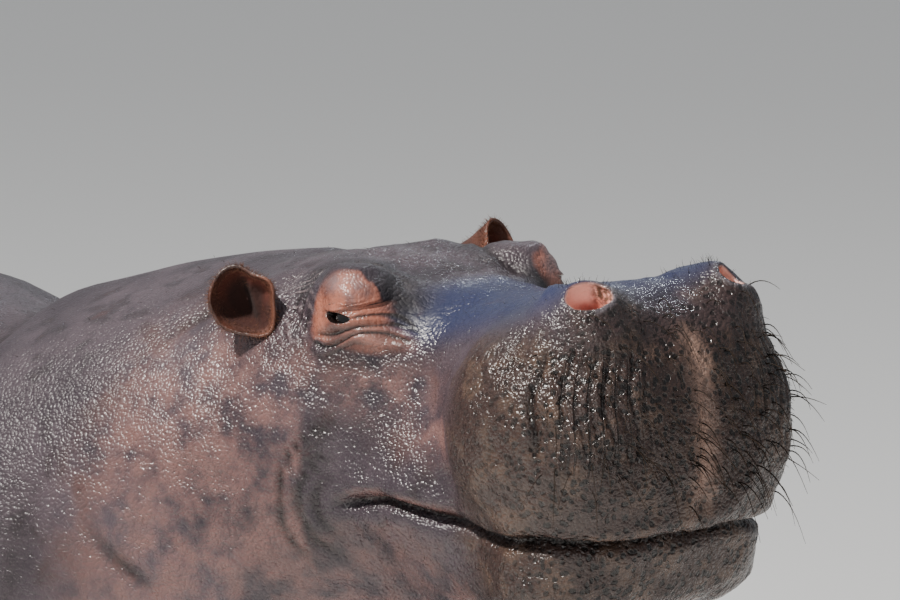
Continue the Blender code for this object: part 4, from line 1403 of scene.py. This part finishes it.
def growBristles(kind, density, look, side="", awayFrom=None):
    # one piece of bristles of a kind, where density says
    shape = {**usualBristle, **bristles[kind]}
    random = np.random.default_rng(shape["seed"])
    roots, around = rootsOn(density, shape["count"], random)
    lean = shape["forward"] * headAxes[0] + shape["down"] * worldDown
    if awayFrom is not None:
        lean = lean + 0.9 * unit(roots - awayFrom)
    spread = shape["spread"] * random.normal(size=around.shape)
    ways = unit(np.array(shape["outward"]) * around + lean + spread)
    path, share = bristlePath(shape, roots, ways, random)
    along = unit(np.gradient(path, axis=1))
    beside = unit(np.cross(along, np.array((0.31, 0.17, 0.93))))[:, :, None]
    over = np.cross(along[:, :, None], beside)
    turn = (np.arange(shape["sides"]) / shape["sides"] * 2 * math.pi)[:, None]
    thick = (shape["radius"] * (1 - 0.75 * np.clip(share, 0, 1)))[..., None]
    spots = path[:, :, None] + thick * (beside * np.cos(turn) + over * np.sin(turn))
    count, rings, sides = spots.shape[:3]
    tips = path[:, -1:] + along[:, -1:] * shape["radius"]
    everyPoint = np.concatenate((path[:, :1], spots.reshape(count, -1, 3), tips), axis=1).reshape(-1, 3)
    starts = (rings * sides + 2) * np.arange(count)[:, None, None]
    made = (ringPattern(rings, sides)[None] + starts).reshape(-1, 3)
    name = kind + side
    piece = newPiece(name, everyPoint, made)
    layFlat(piece, roots, rings, sides)
    tipShare = np.concatenate(((0.0,), np.repeat(np.linspace(0, 1, rings), sides), (1.0,)))
    storeValues(piece, tip=np.tile(tipShare, count))
    finishPiece(piece, look, "bristle")
    print(name + ":", count, "bristles", len(made), "faces")


def bristleLook(name, colours):
    look = Look(name, colours, Specular_IOR_Level=0.15)
    spot = look.spot()
    tipped = look.step(look.noise(spot, 120.0), 0.55, 0.75) * 0.5
    colour = look.layered("root", ("tip", look.mask("tip")), ("tip", tipped))
    return look.finish(colour, 0.55 + look.noise(spot, 400.0) * 0.15, look.noise(spot, 900.0) * 0.00005)


def allBristles():
    place, side = sidedPlaces(points)
    ahead, out, up = place.T
    dark, brown = bristleLook("dark bristle", bristleColours), bristleLook("ear hair", earHairColours)
    outside = 1 - skinValues["nostril"]

    onFront = rise(normals @ headAxes[0], 0.10, 0.60)
    whiskered = rise(ahead, 0.32, 0.44) * between(up, -0.20, -0.13, 0.045, 0.075) * outside
    growBristles("whiskers", whiskered * onFront, dark)
    lip = rise(ahead, 0.30, 0.44) * between(up, -0.20, -0.13, 0.00, 0.05) * outside
    chin = (ahead > 0.02) * bell(up + 0.262, 0.020) * (out > 0.01)
    growBristles("lip_stubble", lip + 0.5 * chin, dark)
    growBristles("nostril_bristles", lump(place, (0.385, 0.100, 0.090), 0.040) * outside, dark)

    for name, sign in sideSigns.items():
        # most on the edge of the cup, fewer just inside, and least on the back
        rim = np.zeros(len(points))
        for first, end, density in ((17, 27, 1.0), (9, 17, 0.12), (27, 33, 0.25)):
            rim[patches["ear_" + name][first:end]] = density
        growBristles("ear_fringe", rim, brown, "_" + name, fromHead(sided(earMiddle[name], sign)))
    tuft = np.zeros(len(points))
    tuft[patches["tail"][-22:]] = 1.0
    growBristles("tail_bristles", tuft * (np.abs(normals[:, 1]) ** 2 + 0.3), dark)
    upper = rise(normals[:, 2], 0.1, 0.7) * (1 - skinValues["brow"]) * (ahead < 0.28) * (points[:, 2] > 0.8)
    growBristles("back_bristles", upper, dark)


allBristles()


# floor, lights and camera; a lamp's bearing is 0 ahead of the body and 90 on its right
stage = {
    "floorColour": (0.90, 0.89, 0.87, 1),
    "floorRoughness": 0.8,
    "floorSize": 400.0,
    "skyColour": (0.88, 0.92, 0.97, 1),
    "skyStrength": 0.40,
}
lamps = {
    # bearing, lift, distance, size, power and colour
    "key": (126.0, 56.0, 6.0, 0.5, 820.0, (1.0, 0.95, 0.89)),
    "fill": (60.0, 20.0, 8.0, 5.0, 164.0, (1.0, 0.98, 0.95)),
    "back": (250.0, 35.0, 8.0, 0.45, 73.8, (0.85, 0.92, 1.0)),
}
cameraSetting = {
    "lens": 400.0,
    "distance": 13.0,
    "fromSide": 49.0,  # degrees from the head's right side round towards its front
    "above": 10.0,
    "aimRight": 0.0065,  # the aim's place beside and above the middle between the eyes
    "aimUp": 0.0079,
}


def plainFloor():
    half = stage["floorSize"] / 2
    corners = np.array(((-half, -half, 0), (half, -half, 0), (half, half, 0), (-half, half, 0)))
    floor = newPiece("floor", corners, np.array(((0, 1, 2, 3),)))
    look = Look("floor", {}, Base_Color=stage["floorColour"], Roughness=stage["floorRoughness"])
    floor.data.materials.append(look.material)


def paleSky():
    sky = bpy.data.worlds.new("sky")
    sky.use_nodes = True
    sky.node_tree.nodes["Background"].inputs["Color"].default_value = stage["skyColour"]
    sky.node_tree.nodes["Background"].inputs["Strength"].default_value = stage["skyStrength"]
    bpy.context.scene.world = sky


def placed(name, data, spot, facing, axis):
    # an object at a spot, with one of its axes the way that it faces
    thing = bpy.data.objects.new(name, data)
    bpy.context.scene.collection.objects.link(thing)
    thing.rotation_mode = "QUATERNION"
    thing.location = spot
    thing.rotation_quaternion = Vector(facing).to_track_quat(axis, "Y")
    return thing


def headCamera():
    turn, lift = math.radians(cameraSetting["fromSide"]), math.radians(cameraSetting["above"])
    ahead, left = headAxes[0], headAxes[1]
    viewRight = ahead * math.cos(turn) + left * math.sin(turn)
    level = ahead * math.sin(turn) - left * math.cos(turn)
    back = level * math.cos(lift) + headUp * math.sin(lift)
    aim = headOrigin + viewRight * cameraSetting["aimRight"] + headUp * cameraSetting["aimUp"]
    spot = aim + back * cameraSetting["distance"]
    camera = placed("camera", bpy.data.cameras.new("camera"), spot, -back, "-Z")
    camera.data.lens = cameraSetting["lens"]
    camera.data.clip_end = 1000
    bpy.context.scene.camera = camera


def roundLamp(name, bearing, lift, distance, size, power, colour):
    # a round soft light that faces the head
    turn, lift = math.radians(bearing), math.radians(lift)
    way = np.array((-math.sin(turn) * math.cos(lift), -math.cos(turn) * math.cos(lift), math.sin(lift)))
    lamp = placed(name, bpy.data.lights.new(name, "AREA"), headOrigin + way * distance, way, "Z")
    lamp.data.shape = "DISK"
    lamp.data.size = size
    lamp.data.energy = power
    lamp.data.color = colour


plainFloor()
paleSky()
for name, setting in lamps.items():
    roundLamp(name, *setting)
headCamera()
print("floor, lights and camera placed")
